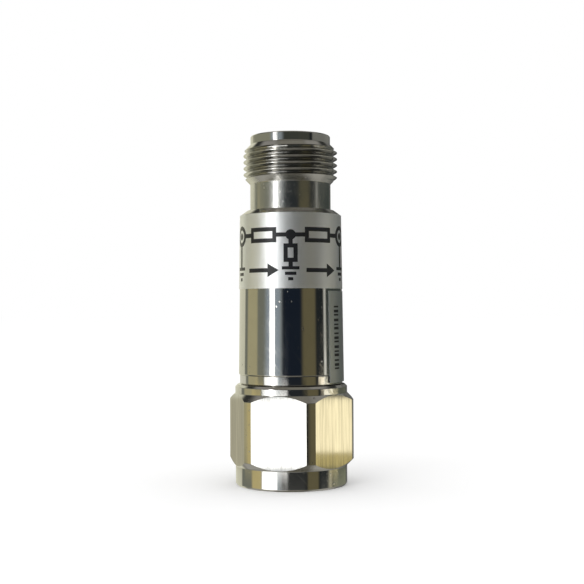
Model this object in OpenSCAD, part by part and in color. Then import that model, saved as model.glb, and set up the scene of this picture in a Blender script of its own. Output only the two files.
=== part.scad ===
// Fixed coaxial attenuator: a threaded jack above, a tubular body with two stickers,
// and a plug with a hexagonal coupling nut below. Millimetres, +Z up.
// The origin is the centre of the nut's open face, on which the part stands.

/* [Interface] */
// Major diameter of the coupling thread, five eighths of an inch
thread_d = 15.875; // [15.6:0.005:16]
// Threads per inch
thread_tpi = 24; // [20:1:28]
// Depth from the jack's front face to its reference plane
mate_depth = 9.1; // [8.6:0.05:9.6]
// Bore of the outer conductor's air line
line_bore_d = 7; // [6.6:0.05:7.4]
// Diameter of the centre conductor
line_d = 3.04; // [2.8:0.02:3.3]
// Diameter of the plug's pin
pin_d = 1.65; // [1.5:0.01:1.68]
// How much wider the socket contact's hole is than the pin
socket_clear = 0.05; // [0.04:0.01:0.1]
// How much wider the jack's mouth is than the outer contact
jack_clear = 0.1; // [0.06:0.01:0.3]

/* [Coupling nut] */
// Hexagon across flats
nut_af = 19; // [18.95:0.05:22]
// How much of each hexagon corner is turned off
corner_trim = 0.42; // [0.2:0.02:0.7]
// Diameter of the collar at the open end
front_collar_d = 18.8; // [18:0.05:18.9]
// Length of the collar at the open end
front_collar_len = 3.25; // [2:0.1:4.5]
// Length of the cone between that collar and the hexagon
front_cone_len = 1.15; // [0.8:0.05:2]
// Diameter of the collar at the body end
rear_collar_d = 18.9; // [18:0.05:18.9]
// Length of the collar at the body end
rear_collar_len = 1.45; // [1:0.05:2]
// Length of the cone between the hexagon and that collar
rear_cone_len = 1.1; // [0.8:0.05:2]
// Turn of the hexagon about the axis at rest, in degrees
nut_turn = -12.5; // [-30:0.1:30]
// Clearance of the plain mouth around the mating jack's thread
mouth_clear = 0.1625; // [0.1:0.0025:0.4]
// Length of the plain mouth
mouth_len = 2.4; // [1.6:0.1:2.5]
// Whole thread pitches inside the nut
nut_turns = 6; // [4:1:7]
// Thickness of the wall at the nut's back
nut_back_wall = 3.55; // [3:0.05:5]
// End play of the nut on the plug
nut_float = 0.4; // [0.2:0.05:0.6]

/* [Plug] */
// Distance from the nut's open face to the outer contact's end
sleeve_set_back = 2.6; // [2.6:0.05:3.4]
// Wall of the outer contact's fingers
finger_wall = 0.5; // [0.4:0.01:0.6]
// Wall of the outer contact's root
sleeve_wall = 0.7; // [0.6:0.01:0.8]
// Length of the fingers outside the root
finger_len = 7.6; // [6:0.1:8]
// Number of slots between the fingers
finger_slots = 6; // [4:1:8]
// Width of each slot between the fingers
finger_slot_w = 0.4; // [0.2:0.05:0.6]
// Length of each slot between the fingers
finger_slot_len = 6.6; // [5:0.1:7]
// Turn of the slots between the fingers, away from +X, in degrees
finger_turn = 7.5; // [0:0.5:60]
// Thickness of the flange at the outer contact's back
sleeve_flange_t = 1.5; // [1:0.1:2]
// Distance from the outer contact's end to the pin's tip
pin_recess = 2.2; // [1.8:0.05:2.6]
// Distance from the outer contact's end to the pin's shoulder
shoulder_recess = 5.5; // [5:0.05:6]
// Diameter of the barrel that carries the nut
barrel_d = 13; // [12.6:0.1:13.4]
// How far the flange ring stands back from the tube
flange_step = 0.17; // [0:0.01:0.6]
// Thickness of the flange ring
flange_t = 1.55; // [1.3:0.05:2.5]
// Length of the plug's spigot inside the tube
plug_spigot_len = 5.55; // [4.5:0.05:7]
// Length of the ring that clamps the plug's bead
plug_bush_len = 3.5; // [3:0.1:4]
// Thickness of the gasket
gasket_t = 1.5; // [1.2:0.1:2]
// How much a mating jack squeezes the gasket
gasket_squeeze = 0.3; // [0.1:0.05:0.5]
// Thickness of the retaining ring along the axis
ring_t = 0.9; // [0.7:0.05:1.2]
// Width of the retaining ring's section
ring_w = 0.85; // [0.7:0.05:1]
// How far the retaining ring reaches into the barrel's groove
ring_bite = 0.4; // [0.3:0.05:0.5]
// Gap in the retaining ring, in degrees
ring_gap_deg = 24; // [10:1:40]

/* [Body] */
// Length of the tube
tube_len = 27.55; // [22:0.05:34]
// Outside diameter of the tube at the plug end
tube_plug_d = 17.66; // [17:0.02:18.4]
// Outside diameter of the tube at the jack end
tube_jack_d = 16.91; // [16.4:0.01:17.6]
// Bore of the tube
tube_bore_d = 13; // [12.6:0.1:13.6]
// Height of the bevel at the tube's jack end
bevel_h = 0.8; // [0.3:0.05:1.5]
// Width of the bevel at the tube's jack end
bevel_w = 1.1; // [0.3:0.05:1.2]

/* [Jack] */
// Length of the jack's spigot inside the tube
jack_spigot_len = 6.3; // [5.5:0.1:7.5]
// Radial seat of the neck on the tube's end
neck_seat = 0.3; // [0.2:0.05:0.5]
// Length of the plain neck
neck_len = 4.5; // [3.5:0.1:6]
// Whole thread pitches on the jack
jack_turns = 4; // [3:1:5]
// Diameter of the pilot in front of the thread
pilot_d = 13.5; // [13:0.05:14]
// Length of the pilot
pilot_len = 1.46; // [1:0.02:2]
// Distance from the jack's reference plane to the socket contact's tip
socket_reach = 4.9; // [4.7:0.05:5.2]
// Depth of the hole in the socket contact
socket_depth = 4.5; // [4:0.1:5]
// Number of slots in the socket contact
socket_slots = 4; // [2:1:4]
// Width of each slot in the socket contact
socket_slot_w = 0.2; // [0.1:0.02:0.25]
// Length of the ring that clamps the jack's bead
jack_bush_len = 3; // [2.6:0.1:3.6]

/* [Inside] */
// Diameter of both insulating beads
bead_d = 9; // [8.8:0.05:9.4]
// Length of each bead
bead_len = 3.5; // [3:0.1:4]
// Diameter of the contacts' necks inside the beads
captive_d = 2.4; // [2:0.05:2.7]
// Width of the slit that lets a bead snap over its contact
bead_slit = 0.3; // [0.1:0.05:0.5]
// Width of the attenuator card
card_w = 6; // [5:0.1:8]
// Thickness of the attenuator card
card_t = 0.4; // [0.25:0.05:0.8]
// Distance from each end of the carriers to the card
card_inset = 1; // [0.5:0.1:2]
// Diameter of the channel along the carriers
channel_d = 4.6; // [3.6:0.1:4.9]
// Width of the contact tabs
tab_w = 1.6; // [1:0.1:2]
// Thickness of the contact tabs
tab_t = 0.15; // [0.1:0.01:0.2]
// Length of a tab inside its contact's tail
tab_hold = 1.8; // [1.2:0.1:2]
// Length of a tab on the card
tab_lap = 1.2; // [0.8:0.1:2]
// Distance from each contact's tail to the carriers
tail_gap = 0.5; // [0.2:0.1:0.8]

/* [Labels] */
// Thickness of both labels
label_t = 0.1; // [0.05:0.01:0.2]
// Height of the rating label
rating_h = 12.35; // [8:0.05:12.5]
// Distance from the tube's bevel to the rating label
rating_gap = 0.05; // [0:0.05:1]
// Gap at the rating label's seam, in degrees
rating_seam_deg = 4; // [1:1:20]
// Width of the serial label
serial_w = 6; // [4:0.1:8]
// Gap between the two labels
serial_gap = 0.4; // [0.1:0.05:3]
// How far the serial label hangs down over the flange ring
serial_drop = 1.15; // [0:0.05:1.2]
// Turn of the serial label from the front to the right, in degrees
serial_turn = 65; // [40:1:100]

/* [Fits] */
// Clearance of pressed and seated pieces
fit_gap = 0.02; // [0.01:0.005:0.04]
// Clearance between the spinning nut and the plug
running_gap = 0.15; // [0.1:0.01:0.2]
// Gap between the nut's back and the flange ring
end_gap = 0.05; // [0.04:0.01:0.1]
// Small chamfer on turned edges
edge = 0.15; // [0.1:0.01:0.2]
// Chamfer on the nut's edge at the open end
front_edge = 0.3; // [0.2:0.05:0.4]
// Chamfer on the nut's edge at the body end
rear_edge = 0.4; // [0.2:0.05:0.6]
// Chamfer that leads a contact into its mate
lead_in = 0.3; // [0.2:0.05:0.4]

/* [Hidden] */
$fn = 128;
inch = 25.4;
over = 1;

// Thread form: sixty degrees, flat crest of an eighth of the pitch
pitch = inch / thread_tpi;
thread_r = thread_d / 2;
thread_depth = 0.6134 * pitch;
flank = thread_depth * tan(30);
crest = pitch / 8;
root = pitch - crest - 2 * flank;
// The nut's thread clears the jack's by this much on each side
thread_clear = 0.08;

// Radii
line_bore_r = line_bore_d / 2;
line_r = line_d / 2;
pin_r = pin_d / 2;
socket_hole_r = pin_r + socket_clear / 2;
captive_r = captive_d / 2;
bead_r = bead_d / 2;
bead_seat_r = bead_r + fit_gap;
sleeve_r = line_bore_r + sleeve_wall;
finger_r = line_bore_r + finger_wall;
barrel_r = barrel_d / 2;
flange_r = tube_plug_d / 2 - flange_step;
tube_bore_r = tube_bore_d / 2;
spigot_r = tube_bore_r - fit_gap;
neck_r = tube_bore_r + neck_seat;
pilot_r = pilot_d / 2;
jack_bore_r = finger_r + jack_clear / 2;
nut_corner_r = nut_af / 2 / cos(30) - corner_trim;
nut_bore_r = barrel_r + running_gap;
ring_in_r = barrel_r - ring_bite;
ring_out_r = ring_in_r + ring_w;
ring_groove_r = ring_in_r - ring_bite - running_gap;
nut_groove_r = ring_out_r + running_gap;
gasket_in_r = sleeve_r + running_gap;

// Heights, from the nut's open face upwards
z_ref = sleeve_set_back;
z_gasket = z_ref + mate_depth - gasket_squeeze;
z_barrel = z_gasket + gasket_t;
z_nut_wall = z_barrel + nut_float;
nut_len = z_nut_wall + nut_back_wall;
z_flange = nut_len + end_gap;
z_tube = z_flange + flange_t;
z_tube_top = z_tube + tube_len;
z_bevel = z_tube_top - bevel_h;
z_plug_end = z_tube + plug_spigot_len;
z_jack_end = z_tube_top - jack_spigot_len;
z_plug_bead = z_plug_end - plug_bush_len - bead_len;
z_sleeve_seat = z_plug_bead - sleeve_flange_t;
z_jack_bead = z_jack_end + jack_bush_len;
z_neck_top = z_tube_top + neck_len;
z_thread = z_neck_top + thread_r - neck_r;
z_thread_top = z_thread + crest + jack_turns * pitch;
z_pilot = z_thread_top + thread_r - pilot_r;
z_top = z_pilot + pilot_len;
z_jack_ref = z_top - mate_depth;
z_socket_tip = z_jack_ref + socket_reach;
z_plug_tail = z_plug_end - tail_gap;
z_jack_tail = z_jack_end + tail_gap;
z_card = z_plug_end + card_inset;
z_card_top = z_jack_end - card_inset;
z_rating = z_bevel - rating_gap - rating_h;
z_serial = z_tube - serial_drop;
serial_h = z_rating - serial_gap - z_serial;

// The retaining ring sits in the middle of the nut's back wall
ring_room = ring_t + 2 * end_gap;
z_nut_groove = z_nut_wall + (nut_back_wall - ring_room) / 2;
z_ring = z_nut_groove + end_gap;

// The tabs lie on the rear face of the card
tab_y = card_t / 2 + tab_t / 2;

// Radius of the tapered tube at a height
function tube_r(z) =
    (tube_plug_d + (tube_jack_d - tube_plug_d) * (z - z_tube) / tube_len) / 2;

// Section of level thread ridges going up from a crest that starts at height z
function ridges(z, turns, crest_r, root_r, slope) = [
    for (i = [0 : turns - 1], p = [
        [crest_r, z + i * pitch],
        [crest_r, z + i * pitch + crest],
        [root_r, z + i * pitch + crest + slope],
        [root_r, z + i * pitch + crest + slope + root]
    ]) p
];

// A turned piece from its half section, as radius and height
module turned(section) {
    rotate_extrude() polygon(section);
}

// A plain ring from its two radii, its foot and its height
module ring(inner_r, outer_r, z, h) {
    turned([[inner_r, z], [outer_r, z], [outer_r, z + h], [inner_r, z + h]]);
}

// A number of radial slots of one width around the axis, turned from +X
module slots(count, width, reach, z, h, turn_deg = 0) {
    for (i = [0 : count - 1])
        rotate(turn_deg + i * 360 / count)
            translate([0, -width / 2, z])
                cube([reach, width, h]);
}

// A film that follows the tube's taper, centred at a turn from the front
module film(z, h, span_deg, turn_deg) {
    rotate(turn_deg - 90 - span_deg / 2)
        rotate_extrude(angle = span_deg)
            polygon([
                [tube_r(z), z],
                [tube_r(z) + label_t, z],
                [tube_r(z + h) + label_t, z + h],
                [tube_r(z + h), z + h]
            ]);
}

// Hexagonal coupling nut: turned blank, six flats, mouth, thread and back wall
module coupling_nut() {
    front_r = front_collar_d / 2;
    rear_r = rear_collar_d / 2;
    mouth_r = thread_r + mouth_clear;
    crest_r = thread_r - thread_depth + thread_clear;
    root_r = thread_r + thread_clear;
    z_ridges = mouth_len + mouth_r - crest_r;
    z_rear_collar = nut_len - rear_collar_len;
    color("silver")
    difference() {
        intersection() {
            turned([
                [0, 0],
                [front_r - front_edge, 0],
                [front_r, front_edge],
                [front_r, front_collar_len],
                [nut_corner_r, front_collar_len + front_cone_len],
                [nut_corner_r, z_rear_collar - rear_cone_len],
                [rear_r, z_rear_collar],
                [rear_r, nut_len - rear_edge],
                [rear_r - rear_edge, nut_len],
                [0, nut_len]
            ]);
            rotate(nut_turn - 90 + 30)
                translate([0, 0, -over])
                    cylinder(h = nut_len + 2 * over, r = nut_af / 2 / cos(30), $fn = 6);
        }
        turned(concat(
            [[0, -over], [mouth_r + edge, -over], [mouth_r + edge, 0], [mouth_r, edge],
             [mouth_r, mouth_len]],
            ridges(z_ridges, nut_turns, crest_r, root_r, flank),
            [[root_r, z_nut_wall], [nut_bore_r, z_nut_wall],
             [nut_bore_r, z_nut_groove], [nut_groove_r, z_nut_groove],
             [nut_groove_r, z_nut_groove + ring_room], [nut_bore_r, z_nut_groove + ring_room],
             [nut_bore_r, nut_len + over], [0, nut_len + over]]
        ));
    }
}

// Split spring ring between the nut's groove and the barrel's groove
module retaining_ring() {
    color("dimgray")
    rotate(90 + ring_gap_deg / 2)
        rotate_extrude(angle = 360 - ring_gap_deg)
            translate([ring_in_r, z_ring])
                square([ring_w, ring_t]);
}

// Flat rubber seal on the barrel's front face
module gasket() {
    color("firebrick")
    ring(gasket_in_r, barrel_r - running_gap, z_gasket, gasket_t);
}

// Shell of the plug: barrel with its ring groove, flange ring and spigot
module plug_shell() {
    bore_r = sleeve_r + fit_gap;
    color("silver")
    turned([
        [bore_r, z_barrel],
        [barrel_r - edge, z_barrel],
        [barrel_r, z_barrel + edge],
        [barrel_r, z_ring - nut_float - end_gap],
        [ring_groove_r, z_ring - nut_float - end_gap],
        [ring_groove_r, z_ring + ring_t + end_gap],
        [barrel_r, z_ring + ring_t + end_gap],
        [barrel_r, z_flange],
        [flange_r - edge, z_flange],
        [flange_r, z_flange + edge],
        [flange_r, z_tube],
        [spigot_r, z_tube],
        [spigot_r, z_plug_end - edge],
        [spigot_r - edge, z_plug_end],
        [bead_seat_r, z_plug_end],
        [bead_seat_r, z_sleeve_seat],
        [bore_r, z_sleeve_seat]
    ]);
}

// Slotted spring sleeve, held at its flange between the shell and the bead
module outer_contact() {
    color("gold")
    difference() {
        turned([
            [line_bore_r, z_ref],
            [finger_r - edge, z_ref],
            [finger_r, z_ref + edge],
            [finger_r, z_ref + finger_len],
            [sleeve_r, z_ref + finger_len],
            [sleeve_r, z_sleeve_seat],
            [bead_r, z_sleeve_seat],
            [bead_r, z_plug_bead],
            [line_bore_r, z_plug_bead]
        ]);
        slots(finger_slots, finger_slot_w, sleeve_r + over, z_ref - over, finger_slot_len + over,
            finger_turn);
    }
}

// Slot in a contact's tail that takes a tab, from height z upwards
module tab_slot(z, h) {
    translate([-tab_w / 2 - fit_gap, tab_y - tab_t / 2 - fit_gap, z])
        cube([tab_w + 2 * fit_gap, tab_t + 2 * fit_gap, h]);
}

// Pin contact: pin, shoulder, captive neck in the bead, and tail
module centre_pin() {
    color("gold")
    difference() {
        turned([
            [0, z_ref + pin_recess],
            [pin_r - lead_in, z_ref + pin_recess],
            [pin_r, z_ref + pin_recess + lead_in],
            [pin_r, z_ref + shoulder_recess],
            [line_r, z_ref + shoulder_recess],
            [line_r, z_plug_bead],
            [captive_r, z_plug_bead],
            [captive_r, z_plug_bead + bead_len],
            [line_r, z_plug_bead + bead_len],
            [line_r, z_plug_tail],
            [0, z_plug_tail]
        ]);
        tab_slot(z_plug_tail - tab_hold, tab_hold + over);
    }
}

// Socket contact: tail, captive neck in the bead, and slotted socket
module socket_contact() {
    color("gold")
    difference() {
        turned([
            [0, z_jack_tail],
            [line_r, z_jack_tail],
            [line_r, z_jack_bead],
            [captive_r, z_jack_bead],
            [captive_r, z_jack_bead + bead_len],
            [line_r, z_jack_bead + bead_len],
            [line_r, z_socket_tip - edge],
            [line_r - edge, z_socket_tip],
            [socket_hole_r, z_socket_tip],
            [socket_hole_r, z_socket_tip - socket_depth],
            [0, z_socket_tip - socket_depth]
        ]);
        slots(socket_slots, socket_slot_w, line_r + over, z_socket_tip - socket_depth, socket_depth + over);
        tab_slot(z_jack_tail - over, tab_hold + over);
    }
}

// Insulating bead, slit on one side so that it snaps over its contact
module bead(z) {
    difference() {
        ring(captive_r + fit_gap, bead_r, z, bead_len);
        slots(1, bead_slit, bead_r + over, z - over, bead_len + 2 * over);
    }
}

module plug_bead() {
    color("whitesmoke") bead(z_plug_bead);
}

module jack_bead() {
    color("whitesmoke") bead(z_jack_bead);
}

// Rings that clamp the beads
module plug_bead_bush() {
    color("darkkhaki") ring(line_bore_r, bead_r, z_plug_bead + bead_len, plug_bush_len);
}

module jack_bead_bush() {
    color("darkkhaki") ring(line_bore_r, bead_r, z_jack_end, jack_bush_len);
}

// Spring tab from a contact's tail to the card
module tab(z, z_end) {
    translate([-tab_w / 2, tab_y - tab_t / 2, z])
        cube([tab_w, tab_t, z_end - z]);
}

module plug_tab() {
    color("gold") tab(z_plug_tail - tab_hold, z_card + tab_lap);
}

module jack_tab() {
    color("gold") tab(z_card_top - tab_lap, z_jack_tail + tab_hold);
}

// Ceramic card, on edge in the middle of the tube
module attenuator_card() {
    color("white")
    translate([-card_w / 2, -card_t / 2, z_card])
        cube([card_w, card_t, z_card_top - z_card]);
}

// Half-round carrier with its channel and its half of the card's recess
module carrier_half() {
    difference() {
        translate([0, 0, z_plug_end])
            rotate_extrude(angle = 180)
                square([spigot_r, z_jack_end - z_plug_end]);
        translate([0, 0, z_plug_end - over])
            cylinder(h = z_jack_end - z_plug_end + 2 * over, d = channel_d);
        translate([-card_w / 2 - fit_gap, -over, z_card - fit_gap])
            cube([card_w + 2 * fit_gap, over + card_t / 2, z_card_top - z_card + 2 * fit_gap]);
    }
}

module carrier_rear() {
    color("lightgray") carrier_half();
}

module carrier_front() {
    color("lightgray") rotate(180) carrier_half();
}

// Tapered outer tube, clamped between the flange ring and the neck
module body_tube() {
    bevel_r = tube_r(z_bevel);
    color("silver")
    turned([
        [tube_bore_r, z_tube],
        [tube_r(z_tube) - edge, z_tube],
        [tube_r(z_tube + edge), z_tube + edge],
        [bevel_r, z_bevel],
        [bevel_r - bevel_w, z_tube_top],
        [tube_bore_r, z_tube_top]
    ]);
}

// Shell of the jack: spigot, neck, thread drawn as level ridges, and pilot
module jack_shell() {
    color("silver")
    turned(concat(
        [[bead_seat_r, z_jack_end],
         [spigot_r - edge, z_jack_end],
         [spigot_r, z_jack_end + edge],
         [spigot_r, z_tube_top],
         [neck_r, z_tube_top],
         [neck_r, z_neck_top]],
        ridges(z_thread, jack_turns, thread_r, thread_r - thread_depth, flank),
        [[thread_r, z_thread_top - crest],
         [thread_r, z_thread_top],
         [pilot_r, z_pilot],
         [pilot_r, z_top - edge],
         [pilot_r - edge, z_top],
         [jack_bore_r + lead_in, z_top],
         [jack_bore_r, z_top - lead_in],
         [jack_bore_r, z_jack_ref],
         [line_bore_r, z_jack_ref],
         [line_bore_r, z_jack_bead + bead_len],
         [bead_seat_r, z_jack_bead + bead_len]]
    ));
}

// Silver film wrapped round the upper half of the tube, with its seam at the back
module rating_label() {
    color("gainsboro")
    film(z_rating, rating_h, 360 - rating_seam_deg, 0);
}

// Narrow film on the lower right of the tube
module serial_label() {
    span_deg = serial_w / tube_r(z_serial) * 180 / PI;
    color("gainsboro")
    film(z_serial, serial_h, span_deg, serial_turn);
}

coupling_nut();
retaining_ring();
gasket();
plug_shell();
outer_contact();
centre_pin();
plug_bead();
plug_bead_bush();
plug_tab();
attenuator_card();
carrier_front();
carrier_rear();
jack_tab();
body_tube();
jack_shell();
socket_contact();
jack_bead();
jack_bead_bush();
rating_label();
serial_label();
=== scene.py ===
"""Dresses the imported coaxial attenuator: turned pieces, true threads, labels, finishes and a studio."""

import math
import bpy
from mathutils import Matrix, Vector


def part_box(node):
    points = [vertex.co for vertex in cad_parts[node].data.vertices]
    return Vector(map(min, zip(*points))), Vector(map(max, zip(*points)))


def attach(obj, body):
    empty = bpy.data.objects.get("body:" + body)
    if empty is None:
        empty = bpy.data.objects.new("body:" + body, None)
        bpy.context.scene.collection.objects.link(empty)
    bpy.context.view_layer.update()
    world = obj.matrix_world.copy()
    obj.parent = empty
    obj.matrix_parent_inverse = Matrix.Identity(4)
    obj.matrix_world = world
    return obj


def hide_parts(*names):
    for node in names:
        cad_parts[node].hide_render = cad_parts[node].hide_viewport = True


bl_info = {
    "name": "Coaxial Attenuator",
    "version": (1, 0, 0),
    "blender": (4, 5, 0),
    "location": "View3D > Sidebar > Attenuator",
    "description": "Models the visible pieces of a coaxial attenuator around its packed frame",
    "category": "Object",
}

import bpy
from bpy.props import FloatProperty, FloatVectorProperty, IntProperty, PointerProperty
from mathutils import Matrix, Vector

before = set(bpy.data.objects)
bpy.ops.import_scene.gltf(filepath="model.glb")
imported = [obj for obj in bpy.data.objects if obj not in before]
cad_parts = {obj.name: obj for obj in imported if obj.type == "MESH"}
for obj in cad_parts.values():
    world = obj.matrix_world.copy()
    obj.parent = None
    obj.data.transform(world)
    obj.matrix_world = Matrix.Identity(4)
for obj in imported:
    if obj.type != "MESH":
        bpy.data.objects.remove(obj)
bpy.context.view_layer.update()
FRAME_FINISHES = {material.name for material in bpy.data.materials}

MM = 0.001
INCH = 0.0254
FULL_TURN = 2 * math.pi
# Steps of a full turn on the large pieces, on the small ones and on a thread
LARGE_STEPS = 192
SMALL_STEPS = 96
THREAD_STEPS = 96
# Points closer than this are one point
MERGE = 2e-7
SMOOTH_ANGLE = math.radians(32)
# The shading is weighted at this size, since the modifier takes areas below 1 mm2 for none; a power of two
# leaves every coordinate as it was. Faces that differ by less than SAME_AREA then weigh the same.
SHADING_SCALE = 1024
SAME_AREA = 0.001
# Side of the plane that each drawn section starts from
SEED = 1 * MM
# How far a cutter stands out of what it cuts
OVERCUT = 1 * MM
# Depth of a thread as a share of its pitch, its crest likewise, and half of the angle between its flanks
THREAD_DEPTH = 0.6134
THREAD_CREST = 1 / 8
HALF_FLANK = math.radians(30)
# Rounding of a groove's root and of its brim, and the share of a crest that the brim takes on each side
ROOT_SOFT = 0.07 * MM
BRIM_SOFT = 0.055 * MM
BRIM_SHARE = 0.45
# How far a groove's cutter stands past the crests, at its brim and at its back
BRIM_REACH = 0.004 * MM
CUTTER_REACH = 0.06 * MM
# Room of the retaining ring in its grooves, and below it in the barrel's, where it slides with the nut
RING_PLAY = 0.05 * MM
RING_TRAVEL = 0.45 * MM
# Undercut behind the nut's thread, and the height of the first groove on the right
NUT_RELIEF = 0.03 * MM
NUT_THREAD_START = 0.9 * MM
# How closely a face points along a flat's normal and lies on it, and the least bend of an edge to round
FLAT_FACING = 0.9999
FLAT_TOLERANCE = 0.001 * MM
FLAT_EDGE_BEND = math.radians(21)
# Half the angle between two corners of the nut
HALF_CORNER = math.radians(30)
# Radius of the nick, its turn from the front flat, and how far its ball stands up and out
NICK_R = 0.36 * MM
NICK_TURN = math.radians(34.8)
NICK_OUT = 0.2 * MM
# Rounding of the edges of the sleeve, the contacts, the beads and the face seal
SLEEVE_ROUND = 0.04 * MM
CONTACT_ROUND = 0.05 * MM
BEAD_ROUND = 0.06 * MM
SEAL_ROUND = 0.22 * MM
# Shares of the pin's radius and heights along its round tip
PIN_TIP = ((0.55, 0.02 * MM), (0.85, 0.16 * MM), (1.0, 0.42 * MM))
# Depth of the cone that the drill leaves in the socket contact
DRILL_CONE = 0.3 * MM
# Depth of the dish in a bead's faces, and its distance from the conductors
DISH = 0.35 * MM
DISH_EDGE = 0.15 * MM
# Gap between the face seal and the sleeve's root
SEAL_GAP = 0.15 * MM
# Rows of a film along the axis, the fewest steps round it, and the rounding of its edges
FILM_ROWS = 16
FILM_STEPS = 24
FILM_EDGE = 0.02 * MM
FILM_EDGE_BEND = math.radians(60)
# Width of the strips that a print is sliced into before it is bent round the tube
PRINT_SLICE = 0.3 * MM
# Height of a print above its film
INK_LIFT = 0.002 * MM
# Arrow head and earth sign of the diagram, in widths of its lines
ARROW_HEAD = 1.9
EARTH_BARS = (4.2, 2.7, 1.2)
EARTH_STEP = 1.3
EARTH_STROKE = 0.75
# Bars in the column on the serial label, their width, and the column's place
SERIAL_BARS = 15
SERIAL_BAR_W = 1.45 * MM
SERIAL_INSET = 2.0 * MM
SERIAL_FOOT = 2.2 * MM
# Depths of the fine relief on the finishes, in metres
MARK_DEPTH = 2.0e-7
PIT_DEPTH = 1.3e-5
SCRATCH_DEPTH = 6.0e-7
GRAIN_DEPTH = 1.4e-6
CREASE_DEPTH = 2.2e-5
FILM_GRAIN_DEPTH = 1.2e-6
# Share of the neck's roughness that the thread and the pilot keep, and half the height over which it changes
THREAD_POLISH = 0.4
POLISH_BLEND = 0.2 * MM
# Place, aim, side and power of the lamp
LAMP_PLACE = (-0.35, -0.45, 0.6)
LAMP_AIM = (0, 0, 0.03)
LAMP_SIZE = 0.5
LAMP_POWER = 0.8
# Width of the camera's sensor in millimetres, and the nearest distance that it sees
SENSOR = 36.0
NEAREST = 10 * MM


def length(name, description, default):
    """A length that a user may change, in metres."""
    return FloatProperty(name=name, description=description, default=default, precision=5, unit="LENGTH")


def angle(name, description, degrees):
    """An angle that a user may change."""
    return FloatProperty(name=name, description=description, default=math.radians(degrees), subtype="ANGLE")


def colour(name, description, default):
    """A linear colour that a user may change."""
    return FloatVectorProperty(
        name=name, description=description, default=default, subtype="COLOR", min=0, max=1
    )


class ThreadSizes(bpy.types.PropertyGroup):
    """Sizes of the coupling thread"""

    major_d: length("Major diameter", "Diameter over the jack's thread crests", 15.875 * MM)
    per_inch: IntProperty(name="Threads per inch", description="Turns of the thread on one inch", default=24)
    clear: length("Clearance", "How far the nut's thread stays off the jack's on each side", 0.08 * MM)
    phase: length("Phase", "Height of one groove on the right side above the thread's foot", 0.47 * MM)


class NutSizes(bpy.types.PropertyGroup):
    """Sizes of the coupling nut"""

    across_flats: length("Across flats", "Width over two opposite flats", 19 * MM)
    corner_trim: length("Corner trim", "How much of each corner is turned off", 0.42 * MM)
    turn: angle("Turn", "Turn of the front flat to the right of the front", -12.5)
    front_d: length("Front collar", "Diameter of the collar at the open end", 18.8 * MM)
    front_len: length("Front collar length", "Length of the collar at the open end", 3.25 * MM)
    front_cone: length("Front cone", "Length of the cone behind the front collar", 1.15 * MM)
    front_edge: length("Front edge", "Chamfer on the edge at the open end", 0.3 * MM)
    rear_d: length("Rear collar", "Diameter of the collar at the body end", 18.9 * MM)
    rear_len: length("Rear collar length", "Length of the collar at the body end", 1.45 * MM)
    rear_cone: length("Rear cone", "Length of the cone in front of the rear collar", 1.1 * MM)
    rear_edge: length("Rear edge", "Chamfer on the edge at the body end", 0.4 * MM)
    mouth_d: length("Mouth", "Diameter of the plain mouth in front of the thread", 16.2 * MM)
    mouth_len: length("Mouth length", "Length of the plain mouth", 2.4 * MM)
    thread_end: length("Thread end", "Distance from the open end to the thread's run-out", 9.48 * MM)
    back_wall: length("Back wall", "Thickness of the wall behind the thread", 3.55 * MM)
    bore_d: length("Bore", "Diameter of the bore that turns on the barrel", 13.3 * MM)
    groove_d: length("Groove", "Diameter of the groove for the retaining ring", 14.2 * MM)
    flat_edge: length("Flat edge", "Rounding along the edges of the flats", 0.04 * MM)


class BodySizes(bpy.types.PropertyGroup):
    """Sizes of the tube and of the plug's shell"""

    plug_d: length("Plug end", "Outside diameter of the tube at the plug end", 17.66 * MM)
    jack_d: length("Jack end", "Outside diameter of the tube at the jack end", 16.91 * MM)
    bore_d: length("Bore", "Bore of the tube", 13 * MM)
    bevel_h: length("Bevel height", "Height of the bevel at the tube's jack end", 0.8 * MM)
    bevel_w: length("Bevel width", "Width of the bevel at the tube's jack end", 1.1 * MM)
    barrel_d: length("Barrel", "Diameter of the barrel that carries the nut", 13 * MM)
    flange_d: length("Flange ring", "Diameter of the flange ring behind the nut", 17.32 * MM)
    flange_t: length("Flange thickness", "Thickness of the flange ring", 1.55 * MM)
    sleeve_bore_d: length("Sleeve bore", "Bore of the shell around the outer contact", 8.44 * MM)
    groove_d: length("Groove", "Diameter of the barrel's groove for the retaining ring", 11.1 * MM)
    fit: length("Fit", "Clearance of seated pieces", 0.02 * MM)
    edge: length("Edge", "Small chamfer on turned edges", 0.15 * MM)
    rounding: length("Rounding", "Rounding of the turned edges", 0.05 * MM)


class JackSizes(bpy.types.PropertyGroup):
    """Sizes of the jack's shell"""

    neck_d: length("Neck", "Diameter of the plain neck", 13.6 * MM)
    neck_len: length("Neck length", "Length of the plain neck", 4.5 * MM)
    pilot_d: length("Pilot", "Diameter of the pilot in front of the thread", 13.5 * MM)
    pilot_len: length("Pilot length", "Length of the pilot", 1.46 * MM)
    mouth_d: length("Mouth", "Bore of the jack's mouth", 8.1 * MM)
    mouth_depth: length("Mouth depth", "Depth from the front face to the reference plane", 9.1 * MM)
    lead_in: length("Lead-in", "Chamfer at the mouth", 0.3 * MM)


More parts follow.
